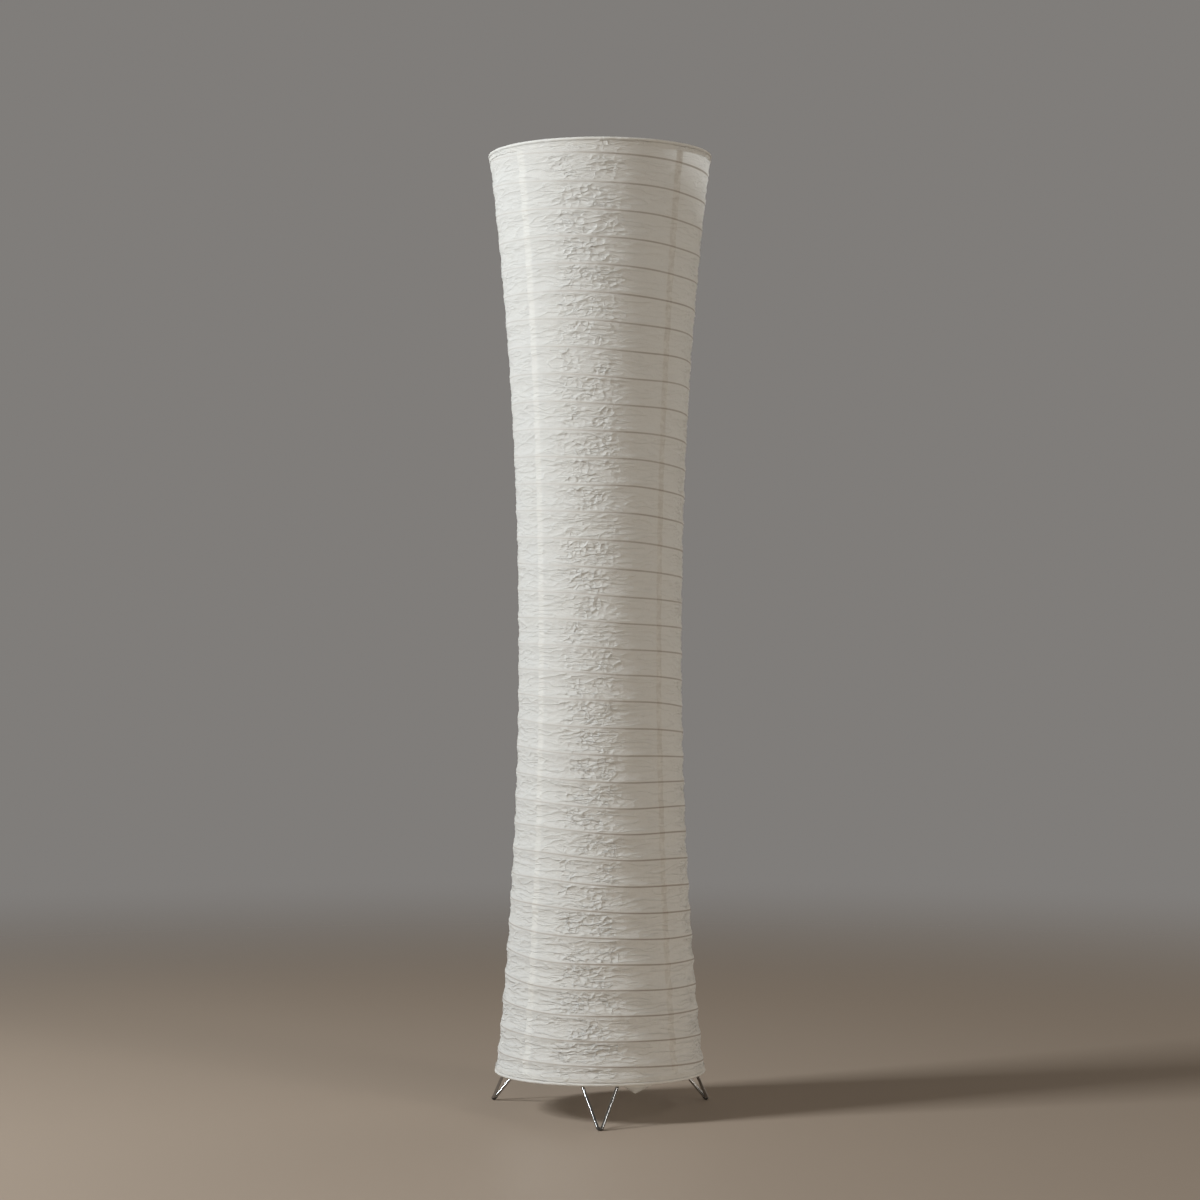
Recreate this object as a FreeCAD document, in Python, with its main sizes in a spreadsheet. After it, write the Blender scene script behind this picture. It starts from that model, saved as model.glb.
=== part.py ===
import FreeCAD, Part

import math
import os

import Sketcher
from FreeCAD import Matrix, Placement, Rotation, Vector

# Paper lantern floor lamp. Millimetres. Z is up, the origin is on the floor under the lantern's axis, and the
# front leg points along -Y.

# Driving sizes: alias, value, what it is.
SIZES = [
    ("overall_height", 1180, "floor to the top of the lantern"),
    ("skirt_height", 48, "floor to the bottom of the lantern"),
    ("top_radius", 137.5, "outside of the paper at the very top"),
    ("waist_radius", 101.5, "outside of the paper at the waist"),
    ("waist_height", 580, "height of the waist above the floor"),
    ("paper", 0.4, "thickness of the paper"),
    ("seam_lap", 12, "width of the glued seam between two gores"),
    ("lap_gap", 0.1, "glue between two layers of paper"),
    ("hoop_wire", 3, "wire of the top and bottom hoops"),
    ("hem_play", 0.2, "room between a hoop and the paper folded round it"),
    ("hem_lip", 7.5, "how far a hem reaches over the gores"),
    ("rib_wire", 1.2, "wire of the wound rib"),
    ("rib_sides", 6, "flats round the rib wire, which is drawn as a prism"),
    ("rib_turns", 34.75, "turns of the wound rib"),
    ("rib_gather", 0.047, "how much wider the top turns are than the mean"),
    ("rib_start", 182, "azimuth where the rib starts at the top, degrees"),
    ("rib_margin", 2, "rib's ends from the gores' edges"),
    ("rib_gap", 0.3, "rib to the paper"),
    ("gap", 0.3, "running clearance between bodies"),
    ("seat_gap", 0.1, "clearance between pieces seated on each other"),
    ("leg_wire", 4, "wire of the legs"),
    ("leg_angle", 18.5, "half the angle between a leg's two strands"),
    ("leg_bend", 3.2, "bend radius at the tip of a leg"),
    ("foot_spread", 26.8, "how far the tip of a leg stands out past the bottom hoop"),
    ("sleeve_wall", 0.8, "wall of a foot sleeve"),
    ("sleeve_run", 3, "how far a foot sleeve reaches up each strand"),
    ("foot_flat", 0.5, "depth of the worn flat under a foot sleeve"),
    ("ring_wire", 4, "wire of the base ring"),
    ("ring_rise", 3.6, "base ring above the bottom hoop"),
    ("strand_rise", 2, "top of a leg above the base ring"),
    ("plate", 2, "thickness of the bridge plate"),
    ("hub_radius", 24, "radius of the bridge's hub"),
    ("arm_width", 13, "width of a bridge arm"),
    ("upright_wire", 4, "wire of the uprights"),
    ("upright_clear", 8.6, "clear space between an upright and the rib at the waist"),
    ("upright_bend", 12, "bend radius at the top of an upright"),
    ("head_wire", 3.5, "wire of the head ring"),
    ("socket_wall", 2, "wall of an upright's socket"),
    ("socket_height", 20, "height of an upright's socket"),
    ("socket_play", 0.15, "clearance round an upright in its socket"),
    ("screw_radius", 1.5, "radius of a grub screw"),
    ("screw_play", 0.1, "clearance round a grub screw"),
    ("screw_proud", 1.2, "how far a grub screw stands out of its socket"),
    ("nipple_radius", 5, "outside of the threaded nipple"),
    ("nipple_bore", 3.5, "bore of the nipple and of the cord grip"),
    ("nipple_below", 15, "nipple below the bridge"),
    ("nipple_above", 10, "nipple above the bridge"),
    ("thread_play", 0.1, "clearance round the nipple"),
    ("washer_radius", 9, "radius of the toothed washer"),
    ("washer_height", 0.8, "thickness of the toothed washer"),
    ("nut_flats", 14, "locknut across its flats"),
    ("nut_height", 4, "thickness of the locknut"),
    ("grip_radius", 8, "radius of the cord grip"),
    ("grip_mouth", 6, "radius of the cord grip at its lower end"),
    ("grip_height", 18, "height of the cord grip"),
    ("holder_radius", 19.5, "radius of the lampholder"),
    ("holder_foot", 13, "radius of the holder cap where it stands on the bridge"),
    ("holder_wall", 1.8, "wall of the lampholder"),
    ("cap_height", 20, "height of the holder cap"),
    ("core_height", 9, "height of the holder's insulating core"),
    ("shell_height", 36, "height of the holder shell"),
    ("thread_wall", 0.5, "wall of the brass screw shell"),
    ("thread_height", 22, "height of the brass screw shell"),
    ("contact_height", 2.5, "height of the holder's centre contact"),
    ("contact_width", 7, "width of the holder's centre contact"),
    ("bulb_cap_radius", 13.1, "outside of the bulb's screw cap"),
    ("bulb_cap_height", 20, "height of the bulb's screw cap"),
    ("bulb_insulator_height", 4, "height of the bulb's insulator"),
    ("bulb_tip_radius", 4.8, "radius of the bulb's centre contact"),
    ("bulb_tip_height", 1.2, "height of the bulb's centre contact"),
    ("bulb_radius", 30, "radius of the bulb's globe"),
    ("bulb_neck_radius", 12.6, "radius of the bulb's neck"),
    ("bulb_neck_height", 14, "straight neck of the bulb above its cap"),
]

# Places and sizes that follow from the driving ones: alias, formula, what it is.
PLACES = [
    ("profile_radius", "((Sizes.overall_height - Sizes.waist_height)^2"
     " + (Sizes.top_radius - Sizes.waist_radius)^2) / (2 * (Sizes.top_radius - Sizes.waist_radius))",
     "radius of the arc that is the lantern's side"),
    ("arc_centre", "Sizes.waist_radius + profile_radius", "distance of that arc's centre from the axis"),
    ("hem_radius", "Sizes.hoop_wire / 2 + Sizes.hem_play + Sizes.paper", "outside of a hem round its hoop"),
    ("hem_bore", "hem_radius - Sizes.paper", "inside of a hem round its hoop"),
    ("top_hoop_z", "Sizes.overall_height - hem_radius", "height of the top hoop"),
    ("bottom_hoop_z", "Sizes.skirt_height + hem_radius", "height of the bottom hoop"),
    ("top_hoop_radius", "arc_centre - sqrt(profile_radius^2 - (top_hoop_z - Sizes.waist_height)^2)"
     " + Sizes.gap - hem_bore", "radius of the top hoop"),
    ("bottom_hoop_radius", "arc_centre - sqrt(profile_radius^2 - (bottom_hoop_z - Sizes.waist_height)^2)"
     " + Sizes.gap - hem_bore", "radius of the bottom hoop"),
    ("foot_radius", "bottom_hoop_radius + Sizes.foot_spread", "lamp axis to the tip of a leg"),
    ("head_offset", "(hem_radius + Sizes.head_wire / 2 + Sizes.seat_gap) * sqrt(0.5)",
     "head ring inside and below the top hoop"),
    ("head_z", "top_hoop_z - head_offset", "height of the head ring"),
    ("head_radius", "top_hoop_radius - head_offset", "radius of the head ring"),
    ("gore_top", "head_z - Sizes.upright_wire / 2 - Sizes.gap", "upper edge of the gores"),
    ("gore_bottom", "bottom_hoop_z + hem_radius + Sizes.gap", "lower edge of the gores"),
    ("layer", "Sizes.paper + Sizes.lap_gap", "one layer of paper with its glue"),
    ("gore_angle", "90 + Sizes.seam_lap / Sizes.top_radius * 180 / pi", "angle that a gore covers"),
    ("rib_depth", "Sizes.paper + layer + Sizes.rib_gap + Sizes.rib_wire / 2",
     "centre of the rib wire inside the paper's outside"),
    ("upright_radius", "Sizes.waist_radius - rib_depth - Sizes.rib_wire / 2 - Sizes.upright_clear"
     " - Sizes.upright_wire / 2", "distance of the uprights from the axis"),
    ("sleeve_radius", "Sizes.leg_wire / 2 + Sizes.seat_gap + Sizes.sleeve_wall", "outside of a foot sleeve"),
    ("foot_z", "sleeve_radius - Sizes.foot_flat", "height of a leg's wire at its tip"),
    ("ring_z", "bottom_hoop_z + Sizes.ring_rise", "height of the base ring"),
    ("plate_z", "ring_z + Sizes.ring_wire / 2 + Sizes.seat_gap", "underside of the bridge plate"),
    ("plate_top", "plate_z + Sizes.plate", "top of the bridge plate"),
    ("socket_z", "plate_top + Sizes.seat_gap", "foot of the sockets and the uprights"),
    ("socket_bore", "Sizes.upright_wire / 2 + Sizes.socket_play", "bore radius of a socket"),
    ("socket_radius", "socket_bore + Sizes.socket_wall", "outer radius of a socket"),
    ("screw_z", "socket_z + Sizes.socket_height / 2", "height of the grub screws"),
    ("screw_start", "upright_radius - socket_radius - Sizes.screw_proud", "outer end of a grub screw"),
    ("screw_length", "socket_radius + Sizes.screw_proud - Sizes.upright_wire / 2 - Sizes.seat_gap",
     "length of a grub screw"),
    ("hub_bore", "Sizes.nipple_radius + Sizes.thread_play", "bore of the hub, nut, washer, grip and holder cap"),
    ("nipple_z", "plate_z - Sizes.nipple_below", "lower end of the nipple"),
    ("nipple_top", "plate_top + Sizes.nipple_above", "upper end of the nipple"),
    ("washer_z", "plate_z - Sizes.seat_gap - Sizes.washer_height", "underside of the washer"),
    ("nut_z", "washer_z - Sizes.seat_gap - Sizes.nut_height", "underside of the locknut"),
    ("grip_top", "nut_z - Sizes.seat_gap", "top of the cord grip"),
    ("grip_z", "grip_top - Sizes.grip_height", "lower end of the cord grip"),
    ("grip_step", "nipple_z - Sizes.seat_gap", "step in the cord grip's bore, under the nipple"),
    ("holder_z", "plate_top + Sizes.seat_gap", "foot of the holder cap"),
    ("cap_top", "holder_z + Sizes.cap_height", "top of the holder cap"),
    ("holder_bore", "Sizes.holder_radius - Sizes.holder_wall", "inside of the lampholder"),
    ("core_radius", "holder_bore - Sizes.seat_gap", "radius of the insulating core"),
    ("core_z", "cap_top - Sizes.core_height / 2", "underside of the insulating core"),
    ("core_top", "core_z + Sizes.core_height", "top of the insulating core"),
    ("shell_z", "cap_top + Sizes.seat_gap", "foot of the holder shell"),
    ("shell_top", "shell_z + Sizes.shell_height", "rim of the holder shell"),
    ("thread_z", "core_top + Sizes.seat_gap", "foot of the screw shell"),
    ("thread_bore", "Sizes.bulb_cap_radius + Sizes.gap", "inside of the screw shell"),
    ("thread_radius", "thread_bore + Sizes.thread_wall", "outside of the screw shell"),
    ("contact_z", "core_top + Sizes.seat_gap", "foot of the holder's centre contact"),
    ("tip_z", "contact_z + Sizes.contact_height + Sizes.gap", "lower end of the bulb"),
    ("insulator_z", "tip_z + Sizes.bulb_tip_height + Sizes.seat_gap", "foot of the bulb's insulator"),
    ("insulator_top", "insulator_z + Sizes.bulb_insulator_height", "top of the bulb's insulator"),
    ("bulb_cap_z", "insulator_top + Sizes.seat_gap", "foot of the bulb's screw cap"),
    ("bulb_cap_top", "bulb_cap_z + Sizes.bulb_cap_height", "top of the bulb's screw cap"),
    ("glass_z", "bulb_cap_top + Sizes.seat_gap", "foot of the bulb's glass"),
    ("neck_top", "glass_z + Sizes.bulb_neck_height", "where the neck starts to widen"),
    ("globe_z", "neck_top + Sizes.bulb_radius * 0.95", "centre of the globe"),
    ("globe_top", "globe_z + Sizes.bulb_radius", "top of the bulb"),
]

# Legs, uprights and the sides of the lantern, by the way that they face.
LEG_SIDES = [("front", -90.0), ("right", 30.0), ("left", 150.0)]
GORE_SIDES = [("front", -90.0, 0), ("right", 0.0, 1), ("back", 90.0, 0), ("left", 180.0, 1)]

# A sketch's own origin, as a constraint names it.
ORIGIN_POINT = (-1, 1)

# Leans between which the legs' own lean is looked for, degrees.
LEAN_RANGE = (5, 70)

doc = FreeCAD.newDocument("PaperLanternLamp")
parts = []


def make_sheet(name, rows, lead=""):
    sheet = doc.addObject("Spreadsheet::Sheet", name)
    for row, (alias, content, note) in enumerate(rows, start=1):
        sheet.set(f"A{row}", note)
        sheet.set(f"B{row}", f"{lead}{content}")
        sheet.setAlias(f"B{row}", alias)
    doc.recompute()
    return sheet


sizes = make_sheet("Sizes", SIZES)
places = make_sheet("Places", PLACES, lead="=")


def worth(formula):
    """The number that a formula on the two sheets gives."""
    return float(sizes.evalExpression(str(formula)))


def keep(node, label):
    node.Label = label
    parts.append(node)
    return node


def new_body(name):
    return doc.addObject("PartDesign::Body", name)


def new_sketch(body, name, role):
    sketch = body.newObject("Sketcher::SketchObject", name)
    plane = next(f for f in body.Origin.OriginFeatures if f.Role == role)
    sketch.AttachmentSupport = (plane, [""])
    sketch.MapMode = "FlatFace"
    return sketch


def bind(sketch, constraint, formula):
    """Adds a constraint whose value follows the sheets."""
    index = sketch.addConstraint(constraint)
    name = f"bound_{index}"
    sketch.renameConstraint(index, name)
    sketch.setExpression(f"Constraints.{name}", str(formula))


def hold_on_axis(sketch, index, point):
    """Holds a point on the sketch's own upright axis, whose number is -2."""
    sketch.addConstraint(Sketcher.Constraint("PointOnObject", index, point, -2))


def arc_between(start, end, radius):
    """The arc from start to end: anticlockwise when radius is positive. True if the arc starts at start."""
    chord = end - start
    rise = math.sqrt(max(radius * radius - chord.Length ** 2 / 4, 0.0))
    left = Vector(-chord.y, chord.x, 0).normalize()
    centre = start + chord / 2 + left * (rise if radius > 0 else -rise)
    first, last = (start, end) if radius > 0 else (end, start)
    angles = [math.atan2(p.y - centre.y, p.x - centre.x) for p in (first, last)]
    if angles[1] < angles[0]:
        angles[1] += 2 * math.pi
    circle = Part.Circle(centre, Vector(0, 0, 1), abs(radius))
    return Part.ArcOfCircle(circle, *angles), radius > 0


def draw_outline(sketch, outline):
    """A closed outline of (r, z) or (r, z, radius) corners, where radius bends the run that arrives there."""
    corners = [Vector(worth(corner[0]), worth(corner[1]), 0) for corner in outline]
    runs = []
    for number, corner in enumerate(outline):
        start, end = corners[number - 1], corners[number]
        if len(corner) == 3:
            arc, forward = arc_between(start, end, worth(corner[2]))
            index = sketch.addGeometry(arc)
            runs.append((index, 1, 2) if forward else (index, 2, 1))
            bend = corner[2] if forward else f"-({corner[2]})"
            bind(sketch, Sketcher.Constraint("Radius", index, abs(worth(corner[2]))), bend)
        else:
            runs.append((sketch.addGeometry(Part.LineSegment(start, end)), 1, 2))
    for number, corner in enumerate(outline):
        index, _, tail = runs[number]
        after, head, _ = runs[(number + 1) % len(runs)]
        sketch.addConstraint(Sketcher.Constraint("Coincident", index, tail, after, head))
        if corners[number].x == 0:
            hold_on_axis(sketch, index, tail)
        else:
            across = Sketcher.Constraint("DistanceX", *ORIGIN_POINT, index, tail, corners[number].x)
            bind(sketch, across, corner[0])
        up = Sketcher.Constraint("DistanceY", *ORIGIN_POINT, index, tail, corners[number].y)
        bind(sketch, up, corner[1])


def turned(name, outline, angle="360"):
    """A body turned about the lamp's axis."""
    body = new_body(name)
    sketch = new_sketch(body, f"{name}_outline", "XZ_Plane")
    draw_outline(sketch, outline)
    spin = body.newObject("PartDesign::Revolution", f"{name}_turn")
    spin.Profile = sketch
    spin.ReferenceAxis = (sketch, ["V_Axis"])
    spin.setExpression("Angle", angle)
    return body


def tube(name, radius, bore, low, high):
    return turned(name, [(bore, low), (radius, low), (radius, high), (bore, high)])


def bent_wire(name, wire, first, bend, turn, last):
    """A wire that starts at the origin, runs up Z, bends towards X and runs on."""
    body = new_body(name)
    across = new_sketch(body, f"{name}_section", "XY_Plane")
    across.addGeometry(Part.Circle(Vector(0, 0, 0), Vector(0, 0, 1), worth(wire) / 2))
    across.addConstraint(Sketcher.Constraint("Coincident", 0, 3, *ORIGIN_POINT))
    bind(across, Sketcher.Constraint("Diameter", 0, worth(wire)), wire)

    path = new_sketch(body, f"{name}_path", "XZ_Plane")
    length, radius, angle, tail = worth(first), worth(bend), math.radians(worth(turn)), worth(last)
    corner = Vector(0, length, 0)
    centre = corner + Vector(radius, 0, 0)
    leave = centre + Vector(-math.cos(angle), math.sin(angle), 0) * radius
    finish = leave + Vector(math.sin(angle), math.cos(angle), 0) * tail
    path.addGeometry(Part.LineSegment(Vector(0, 0, 0), corner))
    circle = Part.Circle(centre, Vector(0, 0, 1), radius)
    path.addGeometry(Part.ArcOfCircle(circle, math.pi - angle, math.pi))
    path.addGeometry(Part.LineSegment(leave, finish))
    path.addConstraint(Sketcher.Constraint("Coincident", 0, 1, *ORIGIN_POINT))
    hold_on_axis(path, 0, 2)
    path.addConstraint(Sketcher.Constraint("Tangent", 0, 2, 1, 2))
    path.addConstraint(Sketcher.Constraint("Tangent", 1, 1, 2, 1))
    bind(path, Sketcher.Constraint("Distance", 0, length), first)
    bind(path, Sketcher.Constraint("Radius", 1, radius), bend)
    bind(path, Sketcher.Constraint("Distance", 2, tail), last)
    opening = Sketcher.Constraint("Angle", 0, 2, 2, 1, math.pi - angle)
    if abs(angle - math.pi / 2) < 1e-9:
        path.addConstraint(Sketcher.Constraint("Horizontal", 2))
    else:
        bind(path, opening, f"(180 - ({turn})) * 1deg")
    pipe = body.newObject("PartDesign::AdditivePipe", f"{name}_pipe")
    pipe.Profile = across
    pipe.Spine = (path, ["Edge1", "Edge2", "Edge3"])
    return body


def ring(name, radius, wire, height):
    torus = doc.addObject("Part::Torus", name)
    torus.setExpression("Radius1", radius)
    torus.setExpression("Radius2", f"({wire}) / 2")
    torus.setExpression("Placement.Base.z", height)
    return torus


def cut(name, base, tool):
    node = doc.addObject("Part::Cut", name)
    node.Base = base
    node.Tool = tool
    return node


def cylinder(name, radius, height, low):
    rod = doc.addObject("Part::Cylinder", name)
    rod.setExpression("Radius", radius)
    rod.setExpression("Height", height)
    rod.setExpression("Placement.Base.z", low)
    return rod


# ---- the lantern's paper -------------------------------------------------------------------------------------

def side_radius(depth, height):
    """Formula for the lantern's side at a height, a depth inside the paper's outside."""
    return f"Places.arc_centre - sqrt((Places.profile_radius + {depth})^2 - (({height}) - Sizes.waist_height)^2)"


def make_gores():
    """Four gores. The front and back ones lie over the side ones at the seams."""
    low, high = "Places.gore_bottom", "Places.gore_top"
    for side, azimuth, sunk in GORE_SIDES:
        outer = f"{sunk} * Places.layer"
        inner = f"({outer} + Sizes.paper)"
        outline = [
            (side_radius(outer, low), low),
            (side_radius(outer, high), high, f"-(Places.profile_radius + {outer})"),
            (side_radius(inner, high), high),
            (side_radius(inner, low), low, f"Places.profile_radius + {inner}"),
        ]
        gore = turned(f"gore_{side}", outline, angle="Places.gore_angle")
        gore.Placement = Placement(Vector(), Rotation(Vector(0, 0, 1), azimuth - worth("Places.gore_angle") / 2))
        keep(gore, f"gore_{side}")


def make_hem(name, radius, height, lip_end):
    """Paper folded round a hoop: over its far side from the lip outside to a quarter turn past the far side."""
    bore, skin = "Places.hem_bore", "Places.hem_radius"
    to_lip = 1 if worth(lip_end) > worth(height) else -1
    far = f"({height} - {to_lip} * {skin})"
    near = f"({height} - {to_lip} * {bore})"
    bend = "" if to_lip > 0 else "-"
    back = "-" if to_lip > 0 else ""
    outline = [
        (f"{radius} + {bore}", lip_end),
        (f"{radius} + {bore}", height),
        (radius, near, f"{back}({bore})"),
        (f"{radius} - {bore}", height, f"{back}({bore})"),
        (f"{radius} - {skin}", height),
        (radius, far, f"{bend}({skin})"),
        (f"{radius} + {skin}", height, f"{bend}({skin})"),
        (f"{radius} + {skin}", lip_end),
    ]
    return keep(turned(name, outline), name)


def make_hoops():
    keep(ring("top_hoop", "Places.top_hoop_radius", "Sizes.hoop_wire", "Places.top_hoop_z"), "top_hoop")
    keep(ring("bottom_hoop", "Places.bottom_hoop_radius", "Sizes.hoop_wire", "Places.bottom_hoop_z"), "bottom_hoop")
    make_hem("top_hem", "Places.top_hoop_radius", "Places.top_hoop_z", "Places.top_hoop_z - Sizes.hem_lip")
    make_hem("bottom_hem", "Places.bottom_hoop_radius", "Places.bottom_hoop_z",
             "Places.bottom_hoop_z + Sizes.hem_lip")


# ---- the wound rib -------------------------------------------------------------------------------------------

def rib_point(turn):
    """A point of the rib's centre line, a number of turns down from the top."""
    turns = worth("Sizes.rib_turns")
    high = worth("Places.gore_top - Sizes.rib_margin - Sizes.rib_wire")
    low = worth("Places.gore_bottom + Sizes.rib_margin + Sizes.rib_wire")
    share = turn / turns
    z = high - (high - low) * (share + worth("Sizes.rib_gather") * share * (1 - share))
    radius = worth(side_radius("Places.rib_depth", repr(z)))
    azimuth = math.radians(worth("Sizes.rib_start") + 360 * turn)
    return Vector(radius * math.cos(azimuth), radius * math.sin(azimuth), z)


def rib_heading(turn):
    step = 1e-4
    return (rib_point(turn + step) - rib_point(turn - step)).normalize()


def arc_edge(start, bend, end):
    """The arc that leaves start towards bend and arrives at end from bend."""
    half = (bend - start).getAngle(end - bend) / 2
    if half < 1e-9:
        return Part.LineSegment(start, end).toShape()
    chord = (start + end) / 2
    share = math.cos(half) / (1 + math.cos(half))
    return Part.Arc(start, chord + (bend - chord) * share, end).toShape()


def biarc(start, leave, end, arrive):
    """Two arcs from start to end that leave and arrive along the given directions."""
    across = end - start
    a = 2 * (leave.dot(arrive) - 1)
    b = -2 * across.dot(leave + arrive)
    c = across.dot(across)
    reach = (-b - math.sqrt(b * b - 4 * a * c)) / (2 * a)
    first, second = start + leave * reach, end - arrive * reach
    joint = (first + second) / 2
    return [arc_edge(start, first, joint), arc_edge(joint, second, end)]


def make_rib():
    """One unbroken wire wound down the inside of the paper, a biarc for each quarter turn."""
    turns, wire = worth("Sizes.rib_turns"), worth("Sizes.rib_wire")
    quarters = math.ceil(turns * 4)
    marks = [turns * n / quarters for n in range(quarters + 1)]
    points = [rib_point(m) for m in marks]
    headings = [rib_heading(m) for m in marks]
    tail = points[0] - headings[0] * wire
    edges = [Part.LineSegment(tail, points[0]).toShape()]
    for n in range(quarters):
        edges += biarc(points[n], headings[n], points[n + 1], headings[n + 1])
    edges.append(Part.LineSegment(points[-1], points[-1] + headings[-1] * wire).toShape())
    spine = Part.Wire(edges)
    sides = int(worth("Sizes.rib_sides"))
    spread = wire / 2 * math.sqrt(2 * math.pi / sides / math.sin(2 * math.pi / sides))
    turn = Rotation(Vector(0, 0, 1), headings[0])
    corners = [tail + turn.multVec(Rotation(Vector(0, 0, 1), 360 * n / sides).multVec(Vector(spread, 0, 0)))
               for n in range(sides + 1)]
    section = Part.makePolygon(corners)
    shape = spine.makePipeShell([section], True, False)
    node = doc.addObject("Part::Feature", "rib_wire")
    node.Shape = shape
    keep(node, "rib_wire")
    steps = 12
    fine = [rib_point(n / steps) for n in range(int(turns * steps) + 1)]
    least = min((fine[n] - p).Length for n in range(len(fine)) for p in fine[n + steps // 2:n + 2 * steps])
    share = shape.Volume / (math.pi * wire * wire / 4 * spine.Length)
    print(f"rib: {turns} turns, {spine.Length:.0f} mm of wire, least gap to itself {least - wire:.2f} mm, "
          f"volume {share:.4f} of section times length")


# ---- legs ----------------------------------------------------------------------------------------------------

def leg_point(lean, sideways, upwards):
    """A point in a leg's leaning plane, for the leg that points along +X."""
    lean = math.radians(lean)
    return Vector(worth("Places.foot_radius") - math.sin(lean) * upwards, sideways,
                  worth("Places.foot_z") + math.cos(lean) * upwards)


def strand(lean, length):
    """Where a strand leaves the bend at the tip, and its far end."""
    half, bend = math.radians(worth("Sizes.leg_angle")), worth("Sizes.leg_bend")
    side, up = bend * math.cos(half), bend * (1 - math.sin(half))
    return (leg_point(lean, side, up),
            leg_point(lean, side + length * math.sin(half), up + length * math.cos(half)))


def distance_to_circle(start, end, radius, height):
    """Least distance from a strand's line to a level circle, positive where the strand passes inside it."""
    def off(share):
        p = start + (end - start) * share
        return math.hypot(math.hypot(p.x, p.y) - radius, p.z - height)

    low, high = 0.0, 2.0
    for _ in range(80):
        one, two = low + (high - low) / 3, high - (high - low) / 3
        low, high = (low, two) if off(one) < off(two) else (one, high)
    share = (height - start.z) / (end.z - start.z)
    level = start + (end - start) * share
    inside = math.hypot(level.x, level.y) < radius
    return off(low) if inside else -off(low)


def solve(test, low, high):
    """Where a rising test passes zero."""
    for _ in range(60):
        middle = (low + high) / 2
        low, high = (low, middle) if test(middle) > 0 else (middle, high)
    return (low + high) / 2


def work_out_legs():
    """The lean at which the strands carry the bottom hem, and the base ring that fits inside them."""
    hoop, hoop_z = worth("Places.bottom_hoop_radius"), worth("Places.bottom_hoop_z")
    seat = worth("Sizes.leg_wire / 2 + Places.hem_radius + Sizes.gap")
    lean = solve(lambda a: distance_to_circle(*strand(a, hoop_z), hoop, hoop_z) - seat, *LEAN_RANGE)
    weld = worth("(Sizes.leg_wire + Sizes.ring_wire) / 2 + Sizes.seat_gap")
    ring_z = worth("Places.ring_z")
    radius = solve(lambda r: distance_to_circle(*strand(lean, ring_z), r, ring_z) + weld, hoop / 2, hoop)
    start, end = strand(lean, 1)
    length = (ring_z + worth("Sizes.strand_rise") - start.z) / (end.z - start.z)
    rows = [
        ("leg_lean", lean, "lean of a leg from upright, degrees"),
        ("ring_radius", radius, "radius of the base ring"),
        ("strand_length", length, "straight length of a strand"),
    ]
    return make_sheet("Legs", rows)


def leg_frame(azimuth, length):
    """Placement of a bent wire whose straight runs are this long, so that its bend is a leg's tip."""
    lean = worth("Legs.leg_lean")
    foot, top = strand(lean, length)
    down = Vector(foot.x - top.x, top.y - foot.y, foot.z - top.z).normalize()
    top.y = -top.y
    plane = leg_point(lean, 1, 0) - leg_point(lean, 0, 0)
    across = (plane - down * plane.dot(down)).normalize()
    third = down.cross(across)
    matrix = Matrix(across.x, third.x, down.x, top.x,
                    across.y, third.y, down.y, top.y,
                    across.z, third.z, down.z, top.z,
                    0, 0, 0, 1)
    return Placement(Vector(), Rotation(Vector(0, 0, 1), azimuth)).multiply(Placement(matrix))


def make_legs():
    """Three hairpins of wire, each with a soft sleeve on its tip that is worn flat where it stands."""
    turn = "180 - 2 * Sizes.leg_angle"
    bore = "Sizes.leg_wire + 2 * Sizes.seat_gap"
    run, past = "Sizes.sleeve_run", "2 * Sizes.sleeve_run"
    for side, azimuth in LEG_SIDES:
        leg = bent_wire(f"leg_{side}", "Sizes.leg_wire", "Legs.strand_length", "Sizes.leg_bend", turn,
                        "Legs.strand_length")
        leg.Placement = leg_frame(azimuth, worth("Legs.strand_length"))
        keep(leg, f"leg_{side}")
        skin = bent_wire(f"sleeve_skin_{side}", "2 * Places.sleeve_radius", run, "Sizes.leg_bend", turn, run)
        skin.Placement = leg_frame(azimuth, worth(run))
        room = bent_wire(f"sleeve_room_{side}", bore, past, "Sizes.leg_bend", turn, past)
        room.Placement = leg_frame(azimuth, worth(past))
        floor = doc.addObject("Part::Box", f"sleeve_floor_{side}")
        for edge in ("Length", "Width"):
            floor.setExpression(edge, "3 * Places.foot_radius")
        floor.setExpression("Height", "Places.foot_radius")
        floor.setExpression("Placement.Base.x", "-1.5 * Places.foot_radius")
        floor.setExpression("Placement.Base.y", "-1.5 * Places.foot_radius")
        floor.setExpression("Placement.Base.z", "-Places.foot_radius")
        hollow = cut(f"sleeve_hollow_{side}", skin, room)
        keep(cut(f"foot_sleeve_{side}", hollow, floor), f"foot_sleeve_{side}")
    keep(ring("base_ring", "Legs.ring_radius", "Sizes.ring_wire", "Places.ring_z"), "base_ring")


# ---- bridge, sockets and uprights ----------------------------------------------------------------------------

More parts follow.
